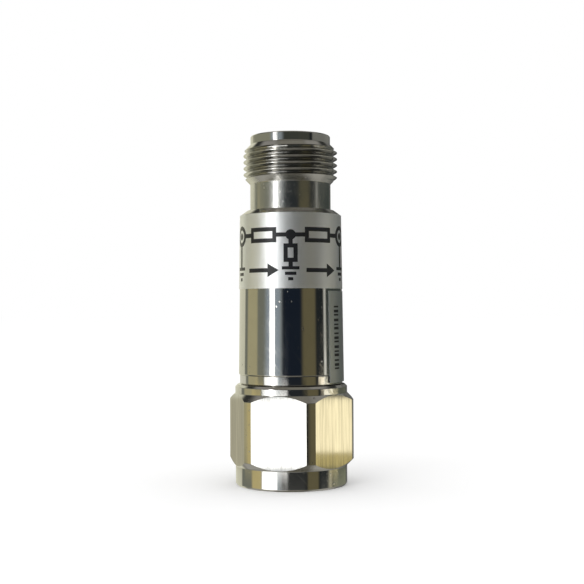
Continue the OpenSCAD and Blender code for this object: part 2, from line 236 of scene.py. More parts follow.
class ContactSizes(bpy.types.PropertyGroup):
    """Sizes of the contacts and of what carries them"""

    line_bore_d: length("Line bore", "Bore of the outer conductor", 7 * MM)
    line_d: length("Line", "Diameter of the centre conductor", 3.04 * MM)
    captive_d: length("Captive neck", "Diameter of the contacts' necks inside the beads", 2.4 * MM)
    pin_d: length("Pin", "Diameter of the plug's pin", 1.65 * MM)
    pin_len: length("Pin length", "Length of the pin in front of its shoulder", 3.3 * MM)
    socket_d: length("Socket", "Bore of the socket contact", 1.7 * MM)
    socket_depth: length("Socket depth", "Depth of the socket contact's bore", 4.5 * MM)
    socket_slot_w: length("Socket slot", "Width of the slots in the socket contact", 0.2 * MM)
    finger_d: length("Fingers", "Outside diameter of the outer contact's fingers", 8 * MM)
    finger_len: length("Finger length", "Length of the fingers outside their root", 7.6 * MM)
    root_d: length("Root", "Outside diameter of the outer contact's root", 8.4 * MM)
    flange_t: length("Flange", "Thickness of the flange at the outer contact's back", 1.5 * MM)
    slot_w: length("Finger slot", "Width of the slots between the fingers", 0.4 * MM)
    slot_len: length("Slot length", "Length of the slots between the fingers", 6.6 * MM)
    slot_turn: angle("Slot turn", "Turn of the slots between the fingers, away from the right", 7.5)
    slots: IntProperty(name="Finger slots", description="Number of slots between the fingers", default=6)
    bead_slit: length("Bead slit", "Width of the slit that lets a bead snap over its contact", 0.3 * MM)
    tab_hold: length("Tab hold", "Length of a tab inside its contact's tail", 1.8 * MM)


class LabelSizes(bpy.types.PropertyGroup):
    """Sizes of the two labels and of the marks on them"""

    film_t: length("Film", "Thickness of both labels", 0.1 * MM)
    seam: angle("Seam", "Gap at the rating label's seam", 4)
    serial_w: length("Serial width", "Width of the serial label", 6 * MM)
    serial_turn: angle("Serial turn", "Turn of the serial label from the front to the right", 65)
    ink_t: length("Ink", "Thickness of the printed marks", 0.012 * MM)
    stroke: length("Stroke", "Width of the diagram's lines", 0.68 * MM)


class Finishes(bpy.types.PropertyGroup):
    """Colours of the finishes"""

    metal: colour("Polished metal", "Plated and polished brass", (0.62, 0.61, 0.58))
    gold: colour("Gold", "Plated contacts", (0.83, 0.58, 0.22))
    brass: colour("Brass", "Bare bushes", (0.66, 0.5, 0.24))
    steel: colour("Spring steel", "Retaining ring", (0.3, 0.3, 0.31))
    carrier: colour("Carrier", "Plain aluminium", (0.72, 0.72, 0.73))
    film: colour("Label film", "Metallised film", (0.94, 0.95, 0.95))
    # Painted shade: the narrow sticker's film is a darker copy of the label film, standing in for the dark
    # right side of the tube
    grey_film: colour("Grey film", "Darker film of the narrow sticker", (0.5, 0.53, 0.53))
    ink: colour("Ink", "Printed marks", (0.008, 0.009, 0.011))
    bead: colour("Bead", "White insulating plastic", (0.86, 0.86, 0.83))
    rubber: colour("Rubber", "Face seal", (0.3, 0.035, 0.022))
    ceramic: colour("Ceramic", "Card", (0.82, 0.81, 0.78))


class Studio(bpy.types.PropertyGroup):
    """Camera and light"""

    eye_distance: length("Eye distance", "Distance of the camera in front of the axis", 185 * MM)
    eye_height: length("Eye height", "Height of the camera above the floor", 29.6 * MM)
    eye_right: length("Eye to the right", "How far the camera stands to the right", 0.2 * MM)
    tilt: angle("Tilt", "How far the camera looks up", 0.84)
    roll: angle("Roll", "How far the picture leans to the left", 0.24)
    focal: FloatProperty(name="Focal length", description="In millimetres on a 36 mm sensor", default=67.3)
    tent_radius: length("Tent", "Radius of the light tent that the metal mirrors", 1.0)
    floor_size: length("Floor", "Side of the pale floor", 6.0)
    floor: colour("Floor", "Colour of the floor", (1.0, 1.0, 1.0))


class AttenuatorSettings(bpy.types.PropertyGroup):
    """All sizes and colours of the attenuator"""

    thread: PointerProperty(type=ThreadSizes)
    nut: PointerProperty(type=NutSizes)
    body: PointerProperty(type=BodySizes)
    jack: PointerProperty(type=JackSizes)
    contact: PointerProperty(type=ContactSizes)
    label: PointerProperty(type=LabelSizes)
    finish: PointerProperty(type=Finishes)
    studio: PointerProperty(type=Studio)


def settings():
    """The sizes and colours in use."""
    return bpy.context.scene.attenuator


def foot(node):
    """Height of the lowest point of a CAD node."""
    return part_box(node)[0].z


def top(node):
    """Height of the highest point of a CAD node."""
    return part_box(node)[1].z


def tube_radius(height):
    """Radius of the tapered tube at a height."""
    body = settings().body
    share = (height - foot("body_tube")) / (top("body_tube") - foot("body_tube"))
    return (body.plug_d + (body.jack_d - body.plug_d) * share) / 2


def deselect_all():
    """Leaves edit mode and clears the selection."""
    current = bpy.context.view_layer.objects.active
    if current is not None and current.mode != "OBJECT":
        bpy.ops.object.mode_set(mode="OBJECT")
    bpy.ops.object.select_all(action="DESELECT")


def activate(piece):
    """Selects one piece alone."""
    deselect_all()
    piece.select_set(True)
    bpy.context.view_layer.objects.active = piece


def edit(piece):
    """Opens a piece in edit mode with all of it selected."""
    activate(piece)
    bpy.ops.object.mode_set(mode="EDIT")
    bpy.ops.mesh.select_all(action="SELECT")


def apply_modifier(piece, kind, **values):
    """Adds a modifier with these values and applies it."""
    activate(piece)
    bpy.ops.object.modifier_add(type=kind)
    modifier = piece.modifiers[-1]
    for key, value in values.items():
        setattr(modifier, key, value)
    bpy.ops.object.modifier_apply(modifier=modifier.name)


def draw_section(name, section, closed=True):
    """Draws a half section of radius and height, from point to point, and leaves it selected in edit mode."""
    points = [Vector((radius, 0, height)) for radius, height in section]
    if closed:
        points.append(points[0])
    deselect_all()
    bpy.ops.mesh.primitive_plane_add(size=SEED)
    piece = bpy.context.object
    piece.name = name
    piece.data.name = name
    bpy.ops.object.mode_set(mode="EDIT")
    bpy.ops.mesh.select_all(action="SELECT")
    bpy.ops.mesh.merge(type="CENTER")
    bpy.ops.transform.translate(value=points[0])
    for here, there in zip(points, points[1:]):
        bpy.ops.mesh.extrude_vertices_move(TRANSFORM_OT_translate={"value": there - here})
    bpy.ops.mesh.select_all(action="SELECT")
    bpy.ops.mesh.remove_doubles(threshold=MERGE)
    return piece


def spin_selected(span, steps):
    """Spins the selected section anticlockwise about the axis, seen from above."""
    bpy.ops.mesh.spin(steps=steps, angle=-span, center=(0, 0, 0), axis=(0, 0, 1))
    bpy.ops.mesh.select_all(action="SELECT")
    bpy.ops.mesh.remove_doubles(threshold=MERGE)
    bpy.ops.mesh.normals_make_consistent(inside=False)
    bpy.ops.object.mode_set(mode="OBJECT")


def turn_piece(name, section, steps=LARGE_STEPS, rounding=None):
    """Turns a piece from its closed half section, with its edges rounded."""
    if rounding is None:
        rounding = settings().body.rounding
    piece = draw_section(name, section)
    if rounding:
        bpy.ops.mesh.bevel(offset=rounding, segments=3, affect="VERTICES", clamp_overlap=True)
    spin_selected(FULL_TURN, steps)
    return piece


def resize(piece, factor):
    """Scales a piece about the origin and leaves it unscaled at its new size."""
    activate(piece)
    piece.scale = (factor, factor, factor)
    bpy.ops.object.transform_apply(location=False, rotation=False, scale=True)


def smooth(piece):
    """Smooths round faces and keeps flats flat, with the larger faces leading."""
    activate(piece)
    bpy.ops.object.shade_smooth_by_angle(angle=SMOOTH_ANGLE)
    resize(piece, SHADING_SCALE)
    apply_modifier(piece, "WEIGHTED_NORMAL", weight=100, thresh=SAME_AREA, keep_sharp=True)
    resize(piece, 1 / SHADING_SCALE)


def carve(piece, cutter):
    """Cuts one piece out of another, removes the cutter and cleans slivers off the cut."""
    apply_modifier(piece, "BOOLEAN", operation="DIFFERENCE", solver="EXACT", object=cutter)
    bpy.data.objects.remove(cutter)
    edit(piece)
    bpy.ops.mesh.dissolve_degenerate(threshold=MERGE)
    bpy.ops.object.mode_set(mode="OBJECT")


def block(name, low, high, turn=0.0):
    """A plain block between two corners, turned about the axis, to cut with."""
    deselect_all()
    size = Vector(high) - Vector(low)
    bpy.ops.mesh.primitive_cube_add(size=1, location=(Vector(low) + Vector(high)) / 2, scale=size)
    cutter = bpy.context.object
    cutter.name = name
    bpy.ops.object.transform_apply(location=True, rotation=True, scale=True)
    cutter.rotation_euler.z = turn
    bpy.ops.object.transform_apply(location=True, rotation=True, scale=True)
    return cutter


def helix(name, section, pitch, turns):
    """A closed right-hand helix of a section, to cut a thread with."""
    cutter = draw_section(name, section)
    bpy.ops.object.mode_set(mode="OBJECT")
    apply_modifier(
        cutter,
        "SCREW",
        axis="Z",
        angle=FULL_TURN,
        screw_offset=pitch,
        iterations=turns,
        steps=THREAD_STEPS,
        render_steps=THREAD_STEPS,
    )
    edit(cutter)
    bpy.ops.mesh.remove_doubles(threshold=MERGE)
    bpy.ops.mesh.fill_holes(sides=0)
    bpy.ops.mesh.select_all(action="SELECT")
    bpy.ops.mesh.normals_make_consistent(inside=False)
    bpy.ops.object.mode_set(mode="OBJECT")
    return cutter


class ThreadForm:
    """Radii and widths of the sixty-degree thread."""

    def __init__(self):
        sizes = settings().thread
        self.pitch = INCH / sizes.per_inch
        self.major_r = sizes.major_d / 2
        self.depth = THREAD_DEPTH * self.pitch
        self.slope = math.tan(HALF_FLANK)
        self.crest = THREAD_CREST * self.pitch
        self.root = self.pitch - self.crest - 2 * self.depth * self.slope
        self.clear = sizes.clear

    def groove(self, root_r, crest_r, height):
        """Section of a groove with a soft root and soft edges at the crests, open towards the crests."""
        out = math.copysign(1.0, crest_r - root_r)
        narrow = self.root / 2
        wide = narrow + self.depth * self.slope
        brim = wide + BRIM_SHARE * self.crest
        middle = Vector((root_r, 0))
        root = Vector((root_r, narrow))
        crest = Vector((crest_r, wide))
        lip = Vector((crest_r + out * BRIM_REACH, brim))
        half = [
            *soft_corner(middle, root, crest, ROOT_SOFT),
            *soft_corner(root, crest, lip, BRIM_SOFT),
            lip,
            Vector((crest_r + out * CUTTER_REACH, brim)),
        ]
        lower = [(point.x, height - point.y) for point in half]
        upper = [(point.x, height + point.y) for point in reversed(half)]
        return lower + upper


def soft_corner(before, corner, after, size):
    """Four points that round a corner of a section."""
    start = corner + (before - corner).normalized() * size
    end = corner + (after - corner).normalized() * size
    shares = (0.0, 1 / 3, 2 / 3, 1.0)
    return [start.lerp(corner, share).lerp(corner.lerp(end, share), share) for share in shares]


def set_materials(piece, *materials):
    """Gives a piece its materials."""
    piece.data.materials.clear()
    for material in materials:
        piece.data.materials.append(material)


def place(piece, body, nodes, slot, *materials):
    """Lets a finished piece ride on its body and stand for its CAD nodes."""
    if materials:
        set_materials(piece, *materials)
    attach(piece, body)
    if nodes:
        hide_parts(*nodes)


def add_node(tree, kind, values=None, **inputs):
    """Adds a node, sets its own values and fills its inputs with numbers or links."""
    made = tree.nodes.new(kind)
    for key, value in (values or {}).items():
        setattr(made, key, value)
    for key, value in inputs.items():
        fill_input(tree, made.inputs[key.replace("_", " ")], value)
    return made


def fill_input(tree, socket, value):
    """Links a socket, or sets its number."""
    if isinstance(value, bpy.types.NodeSocket):
        tree.links.new(value, socket)
    else:
        socket.default_value = value


def add_math(tree, operation, first, second=0.0, third=0.0):
    """Adds a math node and gives its value."""
    made = tree.nodes.new("ShaderNodeMath")
    made.operation = operation
    for socket, value in zip(made.inputs, (first, second, third)):
        fill_input(tree, socket, value)
    return made.outputs["Value"]


def add_range(tree, value, low, high, to_low=0.0, to_high=1.0):
    """Maps a value smoothly from one range to another."""
    made = add_node(tree, "ShaderNodeMapRange", {"interpolation_type": "SMOOTHSTEP"}, Value=value)
    made.inputs["From Min"].default_value = low
    made.inputs["From Max"].default_value = high
    made.inputs["To Min"].default_value = to_low
    made.inputs["To Max"].default_value = to_high
    return made.outputs["Result"]


def add_blend(tree, share, first, second):
    """Mixes two colours."""
    made = tree.nodes.new("ShaderNodeMix")
    made.data_type = "RGBA"
    fill_input(tree, made.inputs["Factor"], share)
    colours = [socket for socket in made.inputs if socket.type == "RGBA"]
    fill_input(tree, colours[0], first)
    fill_input(tree, colours[1], second)
    return next(socket for socket in made.outputs if socket.type == "RGBA")


def noise(tree, vector, scale, detail, **more):
    """Adds a noise texture and gives its value."""
    made = add_node(tree, "ShaderNodeTexNoise", Vector=vector, Scale=scale, Detail=detail, **more)
    return made.outputs["Fac"]


def split(tree, vector):
    """The three parts of a vector."""
    return add_node(tree, "ShaderNodeSeparateXYZ", Vector=vector).outputs


def join(tree, x, y, z=0.0):
    """A vector from its three parts."""
    return add_node(tree, "ShaderNodeCombineXYZ", X=x, Y=y, Z=z).outputs["Vector"]


def axis_distance(tree, parts):
    """Distance of a point from the axis."""
    level = join(tree, parts["X"], parts["Y"])
    made = add_node(tree, "ShaderNodeVectorMath", {"operation": "LENGTH"}, Vector=level)
    return made.outputs["Value"]


def turn_from_front(tree, parts):
    """Turn of a point about the axis, from the front to the right."""
    depth = add_math(tree, "MULTIPLY", parts["Y"], -1.0)
    return add_math(tree, "ARCTAN2", parts["X"], depth)


def turning_marks(tree, given):
    """Fine rings that a lathe tool leaves, by radius and height."""
    parts = split(tree, given["Vector"])
    rings = join(tree, axis_distance(tree, parts), 0.0, parts["Z"])
    fine = noise(tree, rings, given["Lines"], 3.0, Roughness=0.6)
    coarse = noise(tree, rings, add_math(tree, "MULTIPLY", given["Lines"], 0.22), 2.0)
    return {"Height": fine, "Bands": add_range(tree, coarse, 0.35, 0.7)}


def polish_pits(tree, given):
    """Sparse clusters of tiny pits left in the polish."""
    cells = add_node(tree, "ShaderNodeTexVoronoi", Vector=given["Vector"], Scale=given["Cells"])
    chance = add_node(tree, "ShaderNodeSeparateColor", Color=cells.outputs["Color"])
    chosen = add_math(tree, "LESS_THAN", chance.outputs["Red"], given["Share"])
    spot = add_range(tree, cells.outputs["Distance"], 0.1, 0.3, 1.0, 0.0)
    cloud = noise(tree, given["Vector"], add_math(tree, "MULTIPLY", given["Cells"], 0.12), 2.0)
    cluster = add_range(tree, cloud, 0.5, 0.66)
    return {"Mask": add_math(tree, "MULTIPLY", add_math(tree, "MULTIPLY", spot, chosen), cluster)}


def handling_haze(tree, given):
    """Soft uneven haze from handling."""
    cloud = noise(tree, given["Vector"], given["Size"], 5.0, Roughness=0.65, Distortion=0.6)
    return {"Mask": add_range(tree, cloud, 0.38, 0.72)}


def brushed_grain(tree, given):
    """Straight grain along the axis, as on a milled or ground flat."""
    parts = split(tree, given["Vector"])
    along = add_math(tree, "MULTIPLY", parts["Z"], given["Stretch"])
    grain = join(tree, parts["X"], parts["Y"], along)
    fine = noise(tree, grain, given["Lines"], 3.0, Roughness=0.6)
    broad = noise(tree, grain, add_math(tree, "MULTIPLY", given["Lines"], 0.3), 2.0)
    lines = add_range(tree, fine, 0.38, 0.62)
    patches = add_range(tree, broad, 0.36, 0.66)
    streaks = add_math(tree, "MULTIPLY_ADD", lines, 0.6, add_math(tree, "MULTIPLY", patches, 0.4))
    return {"Height": fine, "Streaks": streaks}


def fine_scratches(tree, given):
    """Hair scratches that run slanting round a turned piece."""
    parts = split(tree, given["Vector"])
    around = add_math(tree, "MULTIPLY", turn_from_front(tree, parts), given["Radius"])
    across = add_math(tree, "MULTIPLY_ADD", parts["Z"], given["Slant"], around)
    hatch = join(tree, across, add_math(tree, "MULTIPLY", parts["Z"], 0.06))
    thin = add_range(tree, noise(tree, hatch, given["Lines"], 1.0), 0.6, 0.72)
    where = add_range(tree, noise(tree, given["Vector"], 330.0, 2.0), 0.42, 0.62)
    return {"Mask": add_math(tree, "MULTIPLY", thin, where)}


def groove_shade(tree, given):
    """Painted shade in the grooves of a thread, darker and uneven towards the roots, between two radii and
    two heights.
    """
    parts = split(tree, given["Vector"])
    reach = add_math(tree, "SUBTRACT", given["Crest"], given["Root"])
    below = add_math(tree, "SUBTRACT", given["Crest"], axis_distance(tree, parts))
    depth = add_math(tree, "DIVIDE", below, reach)
    uneven = add_math(tree, "MULTIPLY_ADD", noise(tree, given["Vector"], 900.0, 3.0), 0.7, -0.35)
    deep = add_range(tree, add_math(tree, "ADD", depth, uneven), 0.45, 1.1)
    above = add_math(tree, "GREATER_THAN", parts["Z"], given["Foot"])
    under = add_math(tree, "LESS_THAN", parts["Z"], given["Head"])
    inside = add_math(tree, "MULTIPLY", above, under)
    return {"Mask": add_math(tree, "MULTIPLY", deep, inside)}


# Numbers that each effect takes besides the place on the piece, and the masks that it gives
EFFECTS = {
    turning_marks: ({"Lines": 2400.0}, ("Height", "Bands")),
    polish_pits: ({"Cells": 1600.0, "Share": 0.2}, ("Mask",)),
    handling_haze: ({"Size": 260.0}, ("Mask",)),
    brushed_grain: ({"Lines": 3200.0, "Stretch": 0.035}, ("Height", "Streaks")),
    fine_scratches: ({"Radius": 0.0088, "Lines": 2600.0, "Slant": 0.8}, ("Mask",)),
    groove_shade: ({"Root": 0.0073, "Crest": 0.0079, "Foot": 0.05, "Head": 0.06}, ("Mask",)),
}


def effect_group(effect):
    """The shader node group of an effect, built at its first use."""
    name = effect.__name__
    if name in bpy.data.node_groups:
        return bpy.data.node_groups[name]
    numbers, masks = EFFECTS[effect]
    tree = bpy.data.node_groups.new(name, "ShaderNodeTree")
    tree.interface.new_socket(name="Vector", in_out="INPUT", socket_type="NodeSocketVector")
    for label, default in numbers.items():
        socket = tree.interface.new_socket(name=label, in_out="INPUT", socket_type="NodeSocketFloat")
        socket.default_value = default
    for label in masks:
        tree.interface.new_socket(name=label, in_out="OUTPUT", socket_type="NodeSocketFloat")
    made = effect(tree, tree.nodes.new("NodeGroupInput").outputs)
    result = tree.nodes.new("NodeGroupOutput")
    for label in masks:
        tree.links.new(made[label], result.inputs[label])
    return tree


def use_effect(tree, effect, place_on, **numbers):
    """Places an effect's group in a material with its own numbers and gives its outputs."""
    made = tree.nodes.new("ShaderNodeGroup")
    made.node_tree = effect_group(effect)
    fill_input(tree, made.inputs["Vector"], place_on)
    for label, value in numbers.items():
        fill_input(tree, made.inputs[label], value)
    return made.outputs


def made_before(name):
    """Whether an earlier step made this finish. The names of the frame's own finishes aren't used again."""
    if name in FRAME_FINISHES:
        raise RuntimeError("The frame brings a finish of this name: " + name)
    return name in bpy.data.materials


def start_material(name):
    """A new material with its shader and its Object coordinates."""
    material = bpy.data.materials.new(name)
    material.use_nodes = True
    tree = material.node_tree
    tree.nodes.clear()
    shader = tree.nodes.new("ShaderNodeBsdfPrincipled")
    output = tree.nodes.new("ShaderNodeOutputMaterial")
    tree.links.new(shader.outputs["BSDF"], output.inputs["Surface"])
    place_on = tree.nodes.new("ShaderNodeTexCoord").outputs["Object"]
    return material, tree, shader, place_on


def add_bump(tree, height, depth, below=None):
    """Adds a bump of a depth in metres on top of another one and gives its normal."""
    made = add_node(tree, "ShaderNodeBump", Strength=1.0, Distance=depth, Height=height)
    if below is not None:
        tree.links.new(below, made.inputs["Normal"])
    return made.outputs["Normal"]


def rgba(value, share=1.0):
    """A colour with alpha, darkened by a share."""
    return (value[0] * share, value[1] * share, value[2] * share, 1.0)


def set_surface(tree, shader, shade, rough, normal):
    """Links what changes over the surface to a material's shader."""
    tree.links.new(shade, shader.inputs["Base Color"])
    tree.links.new(rough, shader.inputs["Roughness"])
    tree.links.new(normal, shader.inputs["Normal"])


def turned_metal(name, tone, roughness, pit_share=0.22, mark_depth=MARK_DEPTH, scratch=0.0, groove=None):
    """Turned metal with tool rings, haze, a few pits, hair scratches, and painted shade with more roughness
    in a thread's grooves.
    """
    if made_before(name):
        return bpy.data.materials[name]
    material, tree, shader, place_on = start_material(name)
    marks = use_effect(tree, turning_marks, place_on)
    haze = use_effect(tree, handling_haze, place_on)["Mask"]
    pits = use_effect(tree, polish_pits, place_on, Share=pit_share)["Mask"]
    shader.inputs["Metallic"].default_value = 1.0
    dull = add_math(tree, "MULTIPLY", haze, 0.3)
    shade = add_blend(tree, dull, rgba(tone), rgba(tone, 0.86))
    rough = add_math(tree, "MULTIPLY_ADD", haze, roughness * 0.5, roughness)
    rough = add_math(tree, "MULTIPLY_ADD", marks["Bands"], roughness * 0.3, rough)
    rough = add_math(tree, "MULTIPLY_ADD", pits, 0.3, rough)
    normal = add_bump(tree, marks["Height"], mark_depth)
    normal = add_bump(tree, add_math(tree, "MULTIPLY", pits, -1.0), PIT_DEPTH, normal)
    if scratch:
        lines = use_effect(tree, fine_scratches, place_on)["Mask"]
        rough = add_math(tree, "MULTIPLY_ADD", lines, scratch, rough)
        normal = add_bump(tree, add_math(tree, "MULTIPLY", lines, -1.0), SCRATCH_DEPTH, normal)
    if groove:
        root, crest, low, high = groove
        height = split(tree, place_on)["Z"]
        polish = add_range(tree, height, low - POLISH_BLEND, low + POLISH_BLEND, 1.0, THREAD_POLISH)
        rough = add_math(tree, "MULTIPLY", rough, polish)
        limits = {"Root": root, "Crest": crest, "Foot": low, "Head": high}
        groove_shade_mask = use_effect(tree, groove_shade, place_on, **limits)["Mask"]
        # Painted shade: the thread's grooves are darkened towards their roots, and made rougher as well
        shade = add_blend(tree, groove_shade_mask, shade, rgba(tone, 0.5))
        rough = add_math(tree, "MULTIPLY_ADD", groove_shade_mask, 0.12, rough)
    set_surface(tree, shader, shade, rough, normal)
    return material


def ground_flat(name, tone, roughness):
    """Flats of the nut, ground along the axis."""
    if made_before(name):
        return bpy.data.materials[name]
    material, tree, shader, place_on = start_material(name)
    grain = use_effect(tree, brushed_grain, place_on)
    haze = use_effect(tree, handling_haze, place_on, Size=300.0)["Mask"]
    shader.inputs["Metallic"].default_value = 1.0
    streak = add_math(tree, "MULTIPLY", grain["Streaks"], 0.75)
    shade = add_blend(tree, streak, rgba(tone), rgba(tone, 0.62))
    rough = add_math(tree, "MULTIPLY_ADD", grain["Streaks"], roughness * 0.5, roughness)
    rough = add_math(tree, "MULTIPLY_ADD", haze, roughness * 0.4, rough)
    set_surface(tree, shader, shade, rough, add_bump(tree, grain["Height"], GRAIN_DEPTH))
    return material


def label_film(name, tone):
    """Metallised polyester film with a satin grain and faint creases."""
    if made_before(name):
        return bpy.data.materials[name]
    material, tree, shader, place_on = start_material(name)
    haze = use_effect(tree, handling_haze, place_on, Size=420.0)["Mask"]
    shader.inputs["Metallic"].default_value = 0.94
    worn = add_math(tree, "MULTIPLY", haze, 0.35)
    shade = add_blend(tree, worn, rgba(tone), rgba(tone, 0.9))
    rough = add_math(tree, "MULTIPLY_ADD", haze, 0.06, 0.4)
    creases = noise(tree, place_on, 330.0, 3.0, Distortion=1.5)
    normal = add_bump(tree, creases, CREASE_DEPTH)
    normal = add_bump(tree, noise(tree, place_on, 5200.0, 2.0), FILM_GRAIN_DEPTH, normal)
    set_surface(tree, shader, shade, rough, normal)
    return material


def soft_finish(name, tone, roughness, grain_size, grain_depth, variation):
    """Plain plastic, rubber, ceramic or ink with a fine uneven surface."""
    if made_before(name):
        return bpy.data.materials[name]
    material, tree, shader, place_on = start_material(name)
    haze = use_effect(tree, handling_haze, place_on, Size=500.0)["Mask"]
    shade = add_blend(tree, haze, rgba(tone), rgba(tone, 1.0 - variation))
    rough = add_math(tree, "MULTIPLY_ADD", haze, 0.12, roughness)
    normal = add_bump(tree, noise(tree, place_on, grain_size, 3.0), grain_depth)
    set_surface(tree, shader, shade, rough, normal)
    return material


def polished():
    """Finish of the tube, the plug's shell and the nut's turned faces."""
    return turned_metal("polished_plating", settings().finish.metal, 0.07, scratch=0.1)


def gold():
    """Finish of the contacts."""
    return turned_metal("gold_plating", settings().finish.gold, 0.14, pit_share=0.1)


def ink():
    """Finish of the printed marks."""
    return soft_finish("label_ink", settings().finish.ink, 0.34, 6000.0, 1.0e-6, 0.3)


class ATTENUATOR_OT_body_tube(bpy.types.Operator):
    """Turns the tapered tube"""

    bl_idname = "attenuator.body_tube"
    bl_label = "Body tube"

    def execute(self, context):
        body = settings().body
        low = foot("body_tube")
        high = top("body_tube")
        bevel = high - body.bevel_h
        bore_r = body.bore_d / 2
        piece = turn_piece(
            "polished_tube",
            [
                (bore_r, low),
                (tube_radius(low) - body.edge, low),
                (tube_radius(low + body.edge), low + body.edge),
                (tube_radius(bevel), bevel),
                (tube_radius(bevel) - body.bevel_w, high),
                (bore_r, high),
            ],
        )
        smooth(piece)
        place(piece, "body", ["body_tube"], "polished_metal", polished())
        return {"FINISHED"}


class ATTENUATOR_OT_plug_shell(bpy.types.Operator):
    """Turns the plug's shell: barrel, flange ring and spigot"""

    bl_idname = "attenuator.plug_shell"
    bl_label = "Plug shell"

    def execute(self, context):
        body = settings().body
        low = foot("plug_shell")
        high = top("plug_shell")
        tube = foot("body_tube")
        flange = tube - body.flange_t
        bore_r = body.sleeve_bore_d / 2
        barrel_r = body.barrel_d / 2
        flange_r = body.flange_d / 2
        spigot_r = body.bore_d / 2 - body.fit
        seat_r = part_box("plug_bead")[1].x + body.fit
        seat = top("outer_contact") - settings().contact.flange_t
        groove_low = foot("retaining_ring") - RING_TRAVEL
        groove_high = top("retaining_ring") + RING_PLAY
        piece = turn_piece(
            "plug_body",
            [
                (bore_r, low),
                (barrel_r - body.edge, low),
                (barrel_r, low + body.edge),
                (barrel_r, groove_low),
                (body.groove_d / 2, groove_low),
                (body.groove_d / 2, groove_high),
                (barrel_r, groove_high),
                (barrel_r, flange),
                (flange_r - body.edge, flange),
                (flange_r, flange + body.edge),
                (flange_r, tube),
                (spigot_r, tube),
                (spigot_r, high - body.edge),
                (spigot_r - body.edge, high),
                (seat_r, high),
                (seat_r, seat),
                (bore_r, seat),
            ],
        )
        smooth(piece)
        place(piece, "body", ["plug_shell"], "polished_metal", polished())
        return {"FINISHED"}


class ATTENUATOR_OT_jack_shell(bpy.types.Operator):
    """Turns the jack's shell and cuts its thread"""

    bl_idname = "attenuator.jack_shell"
    bl_label = "Jack shell"

    def execute(self, context):
        body = settings().body
        jack = settings().jack
        form = ThreadForm()
        low = foot("jack_shell")
        high = top("jack_shell")
        shoulder = top("body_tube")
        neck_r = jack.neck_d / 2
        neck_top = shoulder + jack.neck_len
        thread_foot = neck_top + form.major_r - neck_r
        pilot_r = jack.pilot_d / 2
        pilot = high - jack.pilot_len
        thread_top = pilot - (form.major_r - pilot_r)
        spigot_r = body.bore_d / 2 - body.fit
        seat_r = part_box("jack_bead")[1].x + body.fit
        mouth_r = jack.mouth_d / 2
        line_r = settings().contact.line_bore_d / 2
        floor_of_mouth = high - jack.mouth_depth
        seat = top("jack_bead")
        piece = turn_piece(
            "jack_body",
            [
                (seat_r, low),
                (spigot_r - body.edge, low),
                (spigot_r, low + body.edge),
                (spigot_r, shoulder),
                (neck_r, shoulder),
                (neck_r, neck_top),
                (form.major_r, thread_foot),
                (form.major_r, thread_top),
                (pilot_r, pilot),
                (pilot_r, high - body.edge),
                (pilot_r - body.edge, high),
                (mouth_r + jack.lead_in, high),
                (mouth_r, high - jack.lead_in),
                (mouth_r, floor_of_mouth),
                (line_r, floor_of_mouth),
                (line_r, seat),
                (seat_r, seat),
            ],
        )
        run_in = 2
        turns = math.ceil((pilot - neck_top) / form.pitch) + run_in
        first = thread_foot + settings().thread.phase - run_in * form.pitch
        section = form.groove(form.major_r - form.depth, form.major_r, first)
        carve(piece, helix("jack_thread_cutter", section, form.pitch, turns))
        smooth(piece)
        groove = (form.major_r - form.depth, form.major_r, thread_foot, thread_top)
        tone = settings().finish.metal
        satin = turned_metal("satin_metal", tone, 0.18, mark_depth=2 * MARK_DEPTH, groove=groove)
        place(piece, "body", ["jack_shell"], "polished_metal", satin)
        return {"FINISHED"}


